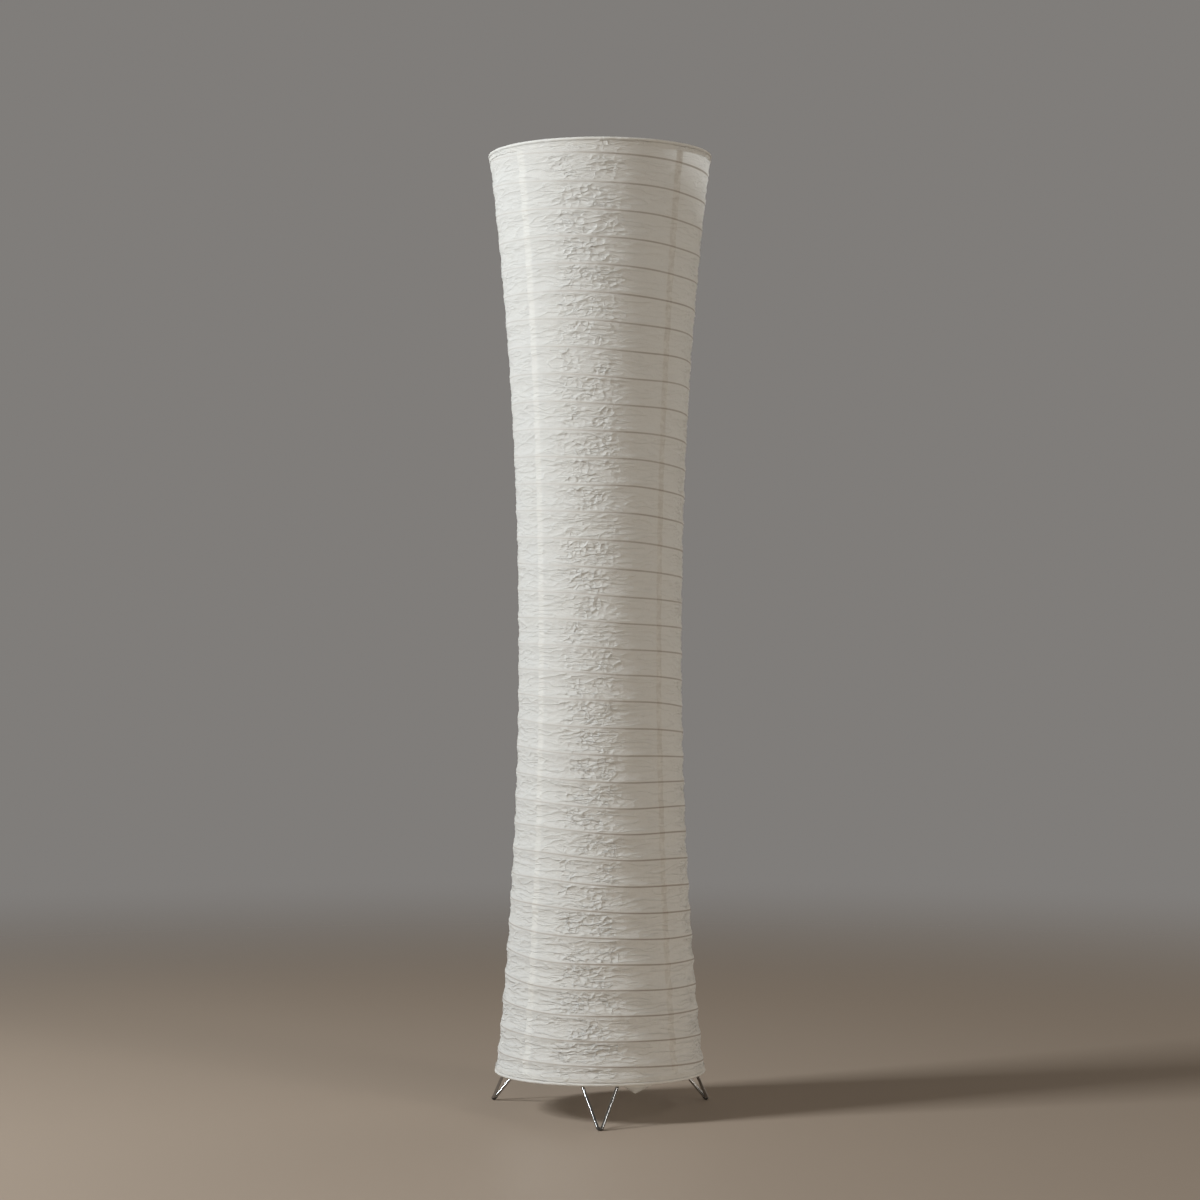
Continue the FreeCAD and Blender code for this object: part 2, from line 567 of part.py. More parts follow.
def make_bridge():
    """A pressed plate: a round hub with three arms that lie on the base ring."""
    body = new_body("bridge_plate")
    hub = new_sketch(body, "bridge_hub", "XY_Plane")
    hub.addGeometry(Part.Circle(Vector(), Vector(0, 0, 1), worth("Sizes.hub_radius")))
    hub.addConstraint(Sketcher.Constraint("Coincident", 0, 3, *ORIGIN_POINT))
    bind(hub, Sketcher.Constraint("Radius", 0, worth("Sizes.hub_radius")), "Sizes.hub_radius")
    hub_pad = body.newObject("PartDesign::Pad", "bridge_hub_pad")
    hub_pad.Profile = hub
    hub_pad.setExpression("Length", "Sizes.plate")

    arm = new_sketch(body, "bridge_arm", "XY_Plane")
    half, reach = worth("Sizes.arm_width / 2"), worth("Legs.ring_radius + Sizes.ring_wire / 2")
    corners = [Vector(-half, 0), Vector(half, 0), Vector(half, -reach), Vector(-half, -reach)]
    for n in range(4):
        arm.addGeometry(Part.LineSegment(corners[n], corners[(n + 1) % 4]))
        arm.addConstraint(Sketcher.Constraint("Vertical" if n % 2 else "Horizontal", n))
    for n in range(4):
        arm.addConstraint(Sketcher.Constraint("Coincident", n, 2, (n + 1) % 4, 1))
    arm.addConstraint(Sketcher.Constraint("Symmetric", 0, 1, 0, 2, *ORIGIN_POINT))
    bind(arm, Sketcher.Constraint("Distance", 0, 2 * half), "Sizes.arm_width")
    bind(arm, Sketcher.Constraint("Distance", 1, reach), "Legs.ring_radius + Sizes.ring_wire / 2")
    arm_pad = body.newObject("PartDesign::Pad", "bridge_arm_pad")
    arm_pad.Profile = arm
    arm_pad.setExpression("Length", "Sizes.plate")
    doc.recompute()
    arms = body.newObject("PartDesign::PolarPattern", "bridge_arms")
    arms.Originals = [arm_pad]
    arms.Axis = (hub, ["N_Axis"])
    arms.Angle = 360
    arms.Occurrences = len(LEG_SIDES)
    body.Tip = arms
    doc.recompute()

    eye = new_sketch(body, "bridge_eye", "XY_Plane")
    eye.addGeometry(Part.Circle(Vector(), Vector(0, 0, 1), worth("Places.hub_bore")))
    eye.addConstraint(Sketcher.Constraint("Coincident", 0, 3, *ORIGIN_POINT))
    bind(eye, Sketcher.Constraint("Radius", 0, worth("Places.hub_bore")), "Places.hub_bore")
    pocket = body.newObject("PartDesign::Pocket", "bridge_eye_pocket")
    pocket.Profile = eye
    pocket.Type = "ThroughAll"
    pocket.Reversed = True
    body.setExpression("Placement.Base.z", "Places.plate_z")
    keep(body, "bridge_plate")


def around(azimuth, radius, height):
    """A place on the lamp, with its X pointing outwards."""
    turn = Rotation(Vector(0, 0, 1), azimuth)
    return Placement(turn.multVec(Vector(radius, 0, height)), turn)


def make_uprights():
    """Each upright stands in a socket on the bridge and carries the head ring on its bent arm."""
    screws = []
    for side, azimuth in LEG_SIDES:
        upright = bent_wire(
            f"upright_{side}", "Sizes.upright_wire", "Places.head_z - Places.socket_z - Sizes.upright_bend",
            "Sizes.upright_bend", "90",
            "Places.head_radius - Sizes.head_wire / 2 - Sizes.seat_gap - Places.upright_radius"
            " - Sizes.upright_bend")
        upright.Placement = around(azimuth, worth("Places.upright_radius"), worth("Places.socket_z"))
        keep(upright, f"upright_{side}")

        barrel = tube(f"socket_tube_{side}", "Places.socket_radius", "Places.socket_bore", "0",
                      "Sizes.socket_height")
        barrel.Placement = upright.Placement
        inwards = Placement(around(azimuth, worth("Places.screw_start"), worth("Places.screw_z")).Base,
                            Rotation(Vector(0, 0, 1), azimuth).multiply(Rotation(Vector(0, 1, 0), 90)))
        drill = doc.addObject("Part::Cylinder", f"socket_drill_{side}")
        drill.setExpression("Radius", "Sizes.screw_radius + Sizes.screw_play")
        drill.setExpression("Height", "Places.screw_length")
        drill.Placement = inwards
        keep(cut(f"socket_{side}", barrel, drill), f"socket_{side}")
        screw = doc.addObject("Part::Cylinder", f"screw_{side}")
        screw.setExpression("Radius", "Sizes.screw_radius")
        screw.setExpression("Height", "Places.screw_length")
        screw.Placement = inwards
        screws.append(screw)
    group = doc.addObject("Part::Compound", "socket_screws")
    group.Links = screws
    keep(group, "socket_screws")
    keep(ring("head_ring", "Places.head_radius", "Sizes.head_wire", "Places.head_z"), "head_ring")


# ---- lampholder ----------------------------------------------------------------------------------------------

def make_holder():
    keep(tube("nipple", "Sizes.nipple_radius", "Sizes.nipple_bore", "Places.nipple_z", "Places.nipple_top"), "nipple")
    keep(tube("washer", "Sizes.washer_radius", "Places.hub_bore", "Places.washer_z",
              "Places.washer_z + Sizes.washer_height"), "washer")

    blank = doc.addObject("Part::Prism", "locknut_blank")
    blank.Polygon = 6
    blank.setExpression("Circumradius", "Sizes.nut_flats / sqrt(3)")
    blank.setExpression("Height", "Sizes.nut_height")
    blank.setExpression("Placement.Base.z", "Places.nut_z")
    thread = cylinder("locknut_thread", "Places.hub_bore", "Sizes.nut_height", "Places.nut_z")
    keep(cut("locknut", blank, thread), "locknut")

    keep(turned("cord_grip", [
        ("Sizes.nipple_bore", "Places.grip_z"),
        ("Sizes.grip_mouth", "Places.grip_z"),
        ("Sizes.grip_radius", "Places.grip_z + Sizes.grip_height / 2"),
        ("Sizes.grip_radius", "Places.grip_top"),
        ("Places.hub_bore", "Places.grip_top"),
        ("Places.hub_bore", "Places.grip_step"),
        ("Sizes.nipple_bore", "Places.grip_step"),
    ]), "cord_grip")

    wall = "Sizes.holder_wall"
    keep(turned("holder_cap", [
        ("Places.hub_bore", "Places.holder_z"),
        ("Sizes.holder_foot", "Places.holder_z"),
        ("Sizes.holder_radius", "Places.holder_z + Sizes.cap_height / 2"),
        ("Sizes.holder_radius", "Places.cap_top"),
        ("Places.holder_bore", "Places.cap_top"),
        ("Places.holder_bore", f"Places.holder_z + Sizes.cap_height / 2 + {wall} / 2"),
        (f"Sizes.holder_foot - {wall} / 2", f"Places.holder_z + {wall}"),
        ("Places.hub_bore", f"Places.holder_z + {wall}"),
    ]), "holder_cap")
    keep(cylinder("holder_core", "Places.core_radius", "Sizes.core_height", "Places.core_z"), "holder_core")

    contact = doc.addObject("Part::Box", "holder_contact")
    contact.setExpression("Length", "Sizes.contact_width")
    contact.setExpression("Width", "Sizes.contact_width")
    contact.setExpression("Height", "Sizes.contact_height")
    contact.setExpression("Placement.Base.x", "-Sizes.contact_width / 2")
    contact.setExpression("Placement.Base.y", "-Sizes.contact_width / 2")
    contact.setExpression("Placement.Base.z", "Places.contact_z")
    keep(contact, "holder_contact")
    keep(tube("holder_thread", "Places.thread_radius", "Places.thread_bore", "Places.thread_z",
              "Places.thread_z + Sizes.thread_height"), "holder_thread")

    # the shell narrows a little to its rim, and closes in over the screw shell
    lip = "(Places.thread_radius + Sizes.seat_gap)"
    keep(turned("holder_shell", [
        ("Places.holder_bore", "Places.shell_z"),
        ("Sizes.holder_radius", "Places.shell_z"),
        (f"{lip} + {wall}", "Places.shell_top"),
        (lip, "Places.shell_top"),
        (lip, f"Places.shell_top - {wall}"),
        ("Places.holder_bore", f"Places.core_top + {wall}"),
    ]), "holder_shell")


# ---- bulb ----------------------------------------------------------------------------------------------------

def make_bulb():
    keep(cylinder("bulb_contact", "Sizes.bulb_tip_radius", "Sizes.bulb_tip_height", "Places.tip_z"), "bulb_contact")
    keep(turned("bulb_insulator", [
        ("0", "Places.insulator_z"),
        ("Sizes.bulb_tip_radius", "Places.insulator_z"),
        ("Sizes.bulb_cap_radius - 2 * Sizes.thread_wall", "Places.insulator_top"),
        ("0", "Places.insulator_top"),
    ]), "bulb_insulator")
    keep(cylinder("bulb_cap", "Sizes.bulb_cap_radius", "Sizes.bulb_cap_height", "Places.bulb_cap_z"), "bulb_cap")
    keep(turned("bulb_glass", [
        ("0", "Places.glass_z"),
        ("Sizes.bulb_neck_radius", "Places.glass_z"),
        ("Sizes.bulb_neck_radius", "Places.neck_top"),
        ("Sizes.bulb_radius", "Places.globe_z", "-(2 * Sizes.bulb_radius)"),
        ("0", "Places.globe_top", "Sizes.bulb_radius"),
    ]), "bulb_glass")


def check(nodes):
    """Stops on anything that FreeCAD could not work out, or that is not a sound solid."""
    for item in doc.Objects:
        bad = [word for word in item.State if word in ("Invalid", "Error")]
        if bad:
            raise RuntimeError(f"{item.Label} is {bad}: {item.getStatusString()}")
    for node in nodes:
        shape = node.Shape
        if shape.isNull() or not shape.isValid() or not shape.Solids:
            raise RuntimeError(f"{node.Label} has no sound solid")
        if shape.Volume <= 0:
            raise RuntimeError(f"{node.Label} is inside out")


def main():
    work_out_legs()
    make_gores()
    make_hoops()
    make_legs()
    make_bridge()
    make_uprights()
    make_holder()
    make_bulb()
    doc.recompute()
    make_rib()
    doc.recompute()
    check(parts)
    os.makedirs("parts", exist_ok=True)
    for node in parts:
        node.Shape.exportStep(os.path.join("parts", f"{node.Label}.step"))
    print(f"{len(parts)} nodes, lean {worth('Legs.leg_lean'):.2f} degrees, "
          f"base ring radius {worth('Legs.ring_radius'):.2f} mm, upright radius {worth('Places.upright_radius'):.2f} mm")


main()
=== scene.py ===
import math

import bmesh
import bpy
from bpy.props import FloatProperty, FloatVectorProperty, IntProperty, PointerProperty
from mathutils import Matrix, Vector, noise


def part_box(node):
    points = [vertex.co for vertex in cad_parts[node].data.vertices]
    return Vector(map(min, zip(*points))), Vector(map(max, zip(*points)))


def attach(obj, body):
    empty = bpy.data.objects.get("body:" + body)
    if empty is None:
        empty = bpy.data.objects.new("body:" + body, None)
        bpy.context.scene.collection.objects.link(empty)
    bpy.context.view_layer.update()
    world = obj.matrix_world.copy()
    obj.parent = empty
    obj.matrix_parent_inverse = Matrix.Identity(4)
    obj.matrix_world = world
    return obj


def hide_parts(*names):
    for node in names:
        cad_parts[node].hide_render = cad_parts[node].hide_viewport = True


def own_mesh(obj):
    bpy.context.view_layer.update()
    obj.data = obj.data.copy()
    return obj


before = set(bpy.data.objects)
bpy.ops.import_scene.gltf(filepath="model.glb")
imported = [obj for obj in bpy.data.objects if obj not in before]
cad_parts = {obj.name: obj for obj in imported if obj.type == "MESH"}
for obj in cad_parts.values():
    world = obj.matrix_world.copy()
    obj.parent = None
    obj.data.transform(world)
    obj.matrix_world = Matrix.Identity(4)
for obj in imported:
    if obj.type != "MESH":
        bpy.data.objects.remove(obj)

bl_info = {
    "name": "Paper Lantern Lamp",
    "version": (1, 0, 0),
    "blender": (4, 5, 0),
    "location": "View3D > Sidebar > Lantern",
    "description": "Dresses the frame of a tall waisted paper lantern lamp",
    "category": "Add Mesh",
}

MM = 0.001
TURN = 2 * math.pi
SIDES = ("front", "right", "left")

# Each gore's middle in degrees, and whether it lies under its neighbours where they lap.
GORE_SIDES = {"front": (-90, 0), "right": (0, 1), "back": (90, 0), "left": (180, 1)}
LAP_DEPTH = 0.5 * MM
LAP_ANGLE = math.radians(5.0)
MEAN_RADIUS = 115 * MM
HOOP_WIRE = 1.5 * MM  # radius of the hoops' wire
RIB_INSET = 3.2 * MM  # from the paper's edges to the ends of the rib
RIB_SETTLES = 30 * MM  # height over which its sway grows from each end
WELD = 0.001 * MM  # points this close are one


# ---- where the frame's pieces are ------------------------

def outer_radius(node):
    """Largest distance from the axis of a piece that goes round it."""
    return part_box(node)[1].x


def ends(node):
    """Heights of a piece's bottom and top."""
    low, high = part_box(node)
    return low.z, high.z


def hoop_circle(node):
    """Radius and height of the circle along the middle of a hoop's wire."""
    return outer_radius(node) - HOOP_WIRE, sum(ends(node)) / 2


GORE_LOW, GORE_HIGH = ends("gore_front")
RIB_LOW, RIB_HIGH = GORE_LOW + RIB_INSET, GORE_HIGH - RIB_INSET
TOP_HOOP, BOTTOM_HOOP = hoop_circle("top_hoop"), hoop_circle("bottom_hoop")


# ---- node trees written as arithmetic --------------------

class Wire:
    """A value running through a node tree. Arithmetic on it adds the nodes that work it out."""

    def __init__(self, desk, socket):
        self.desk = desk
        self.socket = socket

    def maths(self, operation, *others):
        inputs = dict(enumerate((self, *others)))
        return self.desk.node("ShaderNodeMath", {"operation": operation}, inputs)

    def __add__(self, other):
        return self.maths("ADD", other)

    def __sub__(self, other):
        return self.maths("SUBTRACT", other)

    def __mul__(self, other):
        return self.maths("MULTIPLY", other)

    def __truediv__(self, other):
        return self.maths("DIVIDE", other)

    def __pow__(self, other):
        return self.maths("POWER", other)

    def __rsub__(self, other):
        return self * -1 + other

    def __abs__(self):
        return self.maths("ABSOLUTE")

    __radd__ = __add__
    __rmul__ = __mul__

    def root(self):
        return self.maths("SQRT")

    def sine(self):
        return self.maths("SINE")

    def cosine(self):
        return self.maths("COSINE")

    def nearest(self):
        return self.maths("ROUND")

    def floor(self):
        return self.maths("FLOOR")

    def least(self, other):
        return self.maths("MINIMUM", other)

    def step(self, low, high):
        """0 below low, 1 above high and a smooth rise between."""
        return self.desk.node("ShaderNodeMapRange", {"interpolation_type": "SMOOTHSTEP"},
                              {"Value": self, "From Min": low, "From Max": high})


class Desk:
    """A node tree that is being written."""

    def __init__(self, tree):
        self.tree = tree

    def fill(self, socket, value):
        """Joins a wire to a socket, or gives the socket a fixed value."""
        if isinstance(value, Wire):
            self.tree.links.new(value.socket, socket)
        else:
            socket.default_value = value

    def make(self, kind, settings=None, inputs=None):
        """Adds a node, sets it up and joins or fills its sockets."""
        node = self.tree.nodes.new(kind)
        for name, value in (settings or {}).items():
            setattr(node, name, value)
        for name, value in (inputs or {}).items():
            self.fill(node.inputs[name], value)
        return node

    def node(self, kind, settings=None, inputs=None, output=0):
        """The value of one output of a new node."""
        made = self.make(kind, settings, inputs)
        if isinstance(output, int):
            output = next(i for i, s in enumerate(made.outputs) if s.enabled and i >= output)
        return Wire(self, made.outputs[output])

    def vector(self, x, y, z):
        return self.node("ShaderNodeCombineXYZ", {}, {"X": x, "Y": y, "Z": z})

    def split(self, vector):
        made = self.make("ShaderNodeSeparateXYZ", {}, {"Vector": vector})
        return [Wire(self, s) for s in made.outputs]

    def scaled(self, vector, factors):
        return self.node("ShaderNodeVectorMath", {"operation": "MULTIPLY"}, {0: vector, 1: factors})

    def shifted(self, vector, offset):
        return self.node("ShaderNodeVectorMath", {"operation": "ADD"}, {0: vector, 1: offset})

    def noise(self, at, scale, detail=2.0, rough=0.5, twist=0.0):
        """A noise from 0 to 1, of so many cells a metre."""
        inputs = {"Vector": at, "Scale": scale, "Detail": detail, "Roughness": rough,
                  "Distortion": twist}
        shading = self.tree.bl_idname == "ShaderNodeTree"
        return self.node("ShaderNodeTexNoise", {}, inputs, output="Fac" if shading else 0)

    def warped(self, at, scale, reach):
        """The same place, pushed about by a noise of that scale."""
        push = self.node("ShaderNodeTexNoise", {}, {"Vector": at, "Scale": scale}, output="Color")
        push = self.shifted(push, (-0.5, -0.5, -0.5))
        return self.shifted(at, self.scaled(push, (reach, reach, reach)))

    def ridge(self, value, width):
        """1 along a noise's middle level, falling to 0 within width of it."""
        return 1 - (abs(value - 0.5) / width).least(1.0)

    def facets(self, at, scale, width):
        """Small flat faces that lean every way between raised creases."""
        cell = self.make("ShaderNodeTexVoronoi", {"feature": "F1"}, {"Vector": at, "Scale": scale})
        middle, chance = (Wire(self, cell.outputs[name]) for name in ("Position", "Color"))
        inside = self.scaled(self.shifted(at, self.scaled(middle, (-1, -1, -1))), (scale, scale, scale))
        lean = self.node("ShaderNodeVectorMath", {"operation": "DOT_PRODUCT"},
                         {0: inside, 1: self.shifted(chance, (-0.5, -0.5, -0.5))}, output="Value")
        edge = self.node("ShaderNodeTexVoronoi", {"feature": "DISTANCE_TO_EDGE"},
                         {"Vector": at, "Scale": scale}, output="Distance")
        return (lean * 1.6 - 0.45) * (edge / width).least(1.0)

    def creases(self, at, flatness, scale, width):
        """Raised lines of a noise of so many cells a metre, which flatness draws out level."""
        return self.ridge(self.noise(self.scaled(at, (1, 1, flatness)), scale, detail=1), width)

    def crumpled(self, at, patch, width):
        """Relief of crumpled paper: long flat pleats, with leaning faces and creases by the patch."""
        tugged = self.warped(at, 24, 0.008)
        whirled = self.warped(tugged, 90, 0.004)
        pleats = self.creases(tugged, 5.6, 22, 0.070 * width)
        fine = self.creases(at, 4.2, 50, 0.10 * width)
        sharp = self.creases(whirled, 2.2, 42, 0.07 * width)
        faces = self.facets(self.scaled(whirled, (1, 1, 1.6)), 112, 0.20 * width)
        lengthwise = (pleats * 0.60 + fine * 0.26) * (0.60 + patch * 0.30)
        return lengthwise + (faces * 0.85 + sharp * 0.60) * patch


class ShapeDesk(Desk):
    """A geometry tree with named inputs, which ends in one finished mesh."""

    def __init__(self, name, sizes):
        super().__init__(bpy.data.node_groups.new(name, "GeometryNodeTree"))
        face = self.tree.interface
        face.new_socket("Geometry", in_out="OUTPUT", socket_type="NodeSocketGeometry")
        self.names = {}
        for label, value in sizes.items():
            kind = "NodeSocketInt" if isinstance(value, int) else "NodeSocketFloat"
            socket = face.new_socket(label, in_out="INPUT", socket_type=kind)
            socket.default_value = value
            self.names[label] = socket.identifier
        material = face.new_socket("Material", in_out="INPUT", socket_type="NodeSocketMaterial")
        self.names["Material"] = material.identifier
        self.start = self.tree.nodes.new("NodeGroupInput")

    def size(self, label):
        """The value of a named input."""
        return Wire(self, self.start.outputs[label])

    def finish(self, geometry):
        """Ends the tree in one smooth mesh with the material on it."""
        whole = self.node("GeometryNodeRealizeInstances", {}, {"Geometry": geometry})
        smooth = self.node("GeometryNodeSetShadeSmooth", {}, {"Geometry": whole})
        dressed = self.node("GeometryNodeSetMaterial", {},
                            {"Geometry": smooth, "Material": self.size("Material")})
        end = self.tree.nodes.new("NodeGroupOutput")
        self.tree.links.new(dressed.socket, end.inputs[0])
        return self


def grown(name, desk, material, **values):
    """A plain mesh made by a geometry tree whose named inputs are given as keywords."""
    seed = bpy.data.objects.new(f"{name}_seed", bpy.data.meshes.new(f"{name}_seed"))
    bpy.context.scene.collection.objects.link(seed)
    modifier = seed.modifiers.new("shape", "NODES")
    modifier.node_group = desk.tree
    modifier[desk.names["Material"]] = material
    for label, value in values.items():
        modifier[desk.names[label.replace("_", " ").capitalize()]] = value
    graph = bpy.context.evaluated_depsgraph_get()
    mesh = bpy.data.meshes.new_from_object(seed.evaluated_get(graph), depsgraph=graph)
    seed.modifiers.remove(modifier)
    bpy.data.objects.remove(seed)
    return placed(name, mesh)


def placed(name, mesh):
    """The scene's new piece with this mesh."""
    mesh.name = name
    piece = bpy.data.objects.new(name, mesh)
    bpy.context.scene.collection.objects.link(piece)
    return piece


def from_bmesh(name, work):
    """The scene's new piece from a bmesh, shaded smooth."""
    for face in work.faces:
        face.smooth = True
    mesh = bpy.data.meshes.new(name)
    work.to_mesh(mesh)
    work.free()
    return placed(name, mesh)


def outwards(azimuth):
    """The level direction away from the lamp's axis."""
    return Vector((math.cos(azimuth), math.sin(azimuth), 0))


# ---- sizes and colours -----------------------------------

class ShadeSettings(bpy.types.PropertyGroup):
    """Paper, rib and hems"""
    waist_radius: FloatProperty(name="Waist radius", description="Outside of the paper at the waist",
                                default=0.1015, unit="LENGTH")
    waist_height: FloatProperty(name="Waist height", description="Height of the waist above the floor",
                                default=0.58, unit="LENGTH")
    side_radius: FloatProperty(name="Side radius", description="Radius of the arc that is the side",
                               default=5.018, unit="LENGTH")
    rib_turns: FloatProperty(name="Rib turns", description="Turns of the wound rib", default=34.75)
    rib_gather: FloatProperty(name="Rib gather", description="How much wider the top turns are",
                              default=0.047)
    rib_start: FloatProperty(name="Rib start", description="Azimuth where the rib starts at the top",
                             default=math.radians(182), subtype="ANGLE")
    rib_sway: FloatProperty(name="Rib sway", description="Unevenness of the rib's turns", default=0.012,
                            unit="LENGTH")
    rib_wire: FloatProperty(name="Rib wire", description="Diameter of the rib", default=0.0012,
                            unit="LENGTH")
    rib_depth: FloatProperty(name="Rib depth", description="Centre of the rib inside the paper",
                             default=0.0018, unit="LENGTH")
    gore_angle: FloatProperty(name="Gore angle", description="Angle that one gore covers",
                              default=math.radians(95.0), subtype="ANGLE")
    scallop: FloatProperty(name="Scallop", description="How far the paper draws in between ribs",
                           default=0.0014, unit="LENGTH")
    fold: FloatProperty(name="Fold", description="Height of the crease halfway between ribs",
                        default=0.0003, unit="LENGTH")
    crinkle: FloatProperty(name="Crinkle", description="Height of the crumpled creases", default=0.0011,
                           unit="LENGTH")
    columns: IntProperty(name="Columns", description="Points across a gore", default=128)
    rows: IntProperty(name="Rows", description="Points up a gore", default=760)
    paper: FloatVectorProperty(name="Paper", description="Colour of the rice paper", subtype="COLOR",
                               default=(0.84, 0.838, 0.815))


class StageSettings(bpy.types.PropertyGroup):
    """Floor, light and camera"""
    floor: FloatVectorProperty(name="Floor", description="Colour of the floor", subtype="COLOR",
                               default=(0.440, 0.355, 0.282))
    camera_distance: FloatProperty(name="Camera distance", description="Camera to the lamp's axis",
                                   default=3.531, unit="LENGTH")
    camera_height: FloatProperty(name="Camera height", description="Camera above the floor",
                                 default=0.569, unit="LENGTH")
    lens: FloatProperty(name="Lens", description="Focal length in millimetres", default=85.6)
    horizon_drop: FloatProperty(name="Horizon drop", default=50 / 1200,
                                description="Horizon below the picture's middle, in widths")


# ---- materials -------------------------------------------

def shader_desk(name):
    """A new material with a principled shader, and the desk on which its maths is written."""
    material = bpy.data.materials.new(name)
    material.use_nodes = True
    desk = Desk(material.node_tree)
    desk.shader = material.node_tree.nodes["Principled BSDF"]
    desk.material = material
    desk.place = desk.node("ShaderNodeTexCoord", output="Object")
    return desk


def feed(desk, **inputs):
    """Joins or fills the principled shader's sockets. Words in a name are joined by underscores."""
    for name, value in inputs.items():
        desk.fill(desk.shader.inputs[name.replace("_", " ")], value)


def blend(desk, share, low, high):
    """A colour between two, by a share that varies over the surface."""
    low, high = (colour if isinstance(colour, Wire) else (*colour, 1.0) for colour in (low, high))
    made = desk.make("ShaderNodeMix", {"data_type": "RGBA"}, {0: share, 6: low, 7: high})
    return Wire(desk, made.outputs[2])


def bump(desk, height, distance, strength=1.0, under=None):
    """The normal of a bumpy surface, which may lie on other bumps."""
    inputs = {"Height": height, "Distance": distance, "Strength": strength}
    if under:
        inputs["Normal"] = under
    return desk.node("ShaderNodeBump", {}, inputs)


def attribute(desk, name, output="Fac"):
    """A value that the gores' tree has kept on their points."""
    return desk.node("ShaderNodeAttribute", {"attribute_name": name}, output=output)


def let_through(desk, share, colour):
    """Mixes in a share of the light that falls on the paper's other face."""
    glow = desk.make("ShaderNodeBsdfTranslucent", {}, {"Color": (*(c * 0.97 for c in colour), 1.0)})
    mixed = desk.make("ShaderNodeMixShader", {}, {0: share})
    desk.tree.links.new(desk.shader.outputs[0], mixed.inputs[1])
    desk.tree.links.new(glow.outputs[0], mixed.inputs[2])
    desk.tree.links.new(mixed.outputs[0], desk.tree.nodes["Material Output"].inputs["Surface"])
    return desk.material


BLACK = (0.0, 0.0, 0.0)
# Tint of the glue on the laps, laid only on the shaded side, so it also paints shade
GLUE_AND_SHADE_TINT = (0.36, 0.31, 0.25)
# Colour of the rib seen through the paper, together with its painted shadow
RIB_AND_ITS_SHADOW = (0.30, 0.245, 0.20)


def paper_material(colour):
    """Crumpled rice paper: fibres, cloudy thickness, doubled laps with glue and painted shade, the rib
    showing through with a painted shadow, and painted shade along the middle creases.
    """
    desk = shader_desk("rice_paper_sheet")
    place, turns, lap, patch = desk.place, *(attribute(desk, n) for n in ("turns", "lap", "patch"))
    east, _, height = desk.split(place)
    off_rib = abs(turns - turns.nearest())
    cloud = desk.noise(place, 22, detail=3, rough=0.6)
    mottle = desk.noise(place, 130, detail=2, rough=0.7)
    fibre = desk.noise(desk.scaled(place, (1, 1, 3.2)), 420, detail=2, rough=0.7, twist=1.2)
    strand = desk.ridge(desk.noise(desk.scaled(place, (1, 1, 0.45)), 160, detail=1, twist=2.5), 0.035)
    line = 1 - off_rib.step(0.014, 0.042)
    # Painted shade along the crease halfway between ribs, taken off the tone below
    fold = 1 - (0.5 - off_rib).step(0.0, 0.02)
    # Painted shade: 1 on the east side, which is turned away from the window light
    shaded_east = east.step(-0.07, 0.04)
    low = 1 - height.step(0.10, 0.60)

    # Glue on the laps, mottled and shown only on the shaded east side: partly glue, partly painted
    # shade
    glue_and_shade = lap * shaded_east * mottle.step(0.30, 0.62)
    tone = (0.865 + cloud * 0.08 + fibre * 0.14 + mottle * 0.08 + lap * 0.055
            - strand * 0.06 - fold * 0.03)
    tint = blend(desk, (cloud * 0.6 + lap * 0.25).least(1.0), colour,
                 (colour[0] * 0.99, colour[1] * 0.97, colour[2] * 0.93))
    tint = blend(desk, glue_and_shade * 0.24, tint, GLUE_AND_SHADE_TINT)
    # The rib seen through the paper, with a painted shadow that is stronger on the shaded east side and
    # towards the bottom
    rib_and_shadow_share = (line * (0.16 + cloud * 0.30 + shaded_east * 0.35 + low * 0.25)).least(0.8)
    shade = blend(desk, tone, BLACK, blend(desk, rib_and_shadow_share, tint, RIB_AND_ITS_SHADOW))

    slack = 1.5 - height.step(0.05, 0.65) * 0.5
    crumples = desk.crumpled(attribute(desk, "creased", "Vector"), patch, 0.6)
    bumps = bump(desk, fibre + strand * 0.4, 0.0005, 0.45)
    bumps = bump(desk, crumples * off_rib.step(0.045, 0.13) * slack, 0.0010, 1.0, under=bumps)
    feed(desk, Base_Color=shade, Roughness=0.82 + fibre * 0.12, Normal=bumps, Specular_IOR_Level=0.25)
    return let_through(desk, 0.26 - lap * 0.10 - line * 0.16, colour)


def metal_material(name, colour, rough, grain=(1, 1, 1), scale=600, stain=0.1, spots=0.0,
                   depth=0.00008):
    """Bare or plated metal, with drawing lines or grain, cloudy stains and small pits."""
    desk = shader_desk(name)
    fine = desk.noise(desk.scaled(desk.place, grain), scale, detail=4, rough=0.65)
    cloud = desk.noise(desk.place, 35, detail=3, rough=0.6)
    pits = desk.noise(desk.place, 1400, detail=1).step(0.62, 0.72) * spots
    tone = 1.0 - stain * cloud - pits * 0.4
    shade = blend(desk, tone, tuple(c * 0.35 for c in colour), colour)
    dulled = rough * (0.75 + 0.5 * fine) + stain * 0.25 * cloud
    feed(desk, Base_Color=shade, Metallic=1.0, Roughness=dulled,
         Normal=bump(desk, fine - pits, depth, 0.25))
    return desk.material


def moulded_material(name, colour, rough, mottling=0.06, depth=0.0002, **more):
    """Moulded, glazed or rubbery stuff with a fine skin, dust and rubbed patches."""
    desk = shader_desk(name)
    skin = desk.noise(desk.place, 900, detail=3, rough=0.6)
    dust = desk.noise(desk.place, 45, detail=4, rough=0.65)
    tone = 1.0 - mottling * dust - mottling * 0.5 * skin
    shade = blend(desk, tone, tuple(c * 0.5 for c in colour), colour)
    feed(desk, Base_Color=shade, Roughness=rough + 0.15 * dust,
         Normal=bump(desk, skin, depth, 0.3), **more)
    return desk.material


# ---- paper -----------------------------------------------

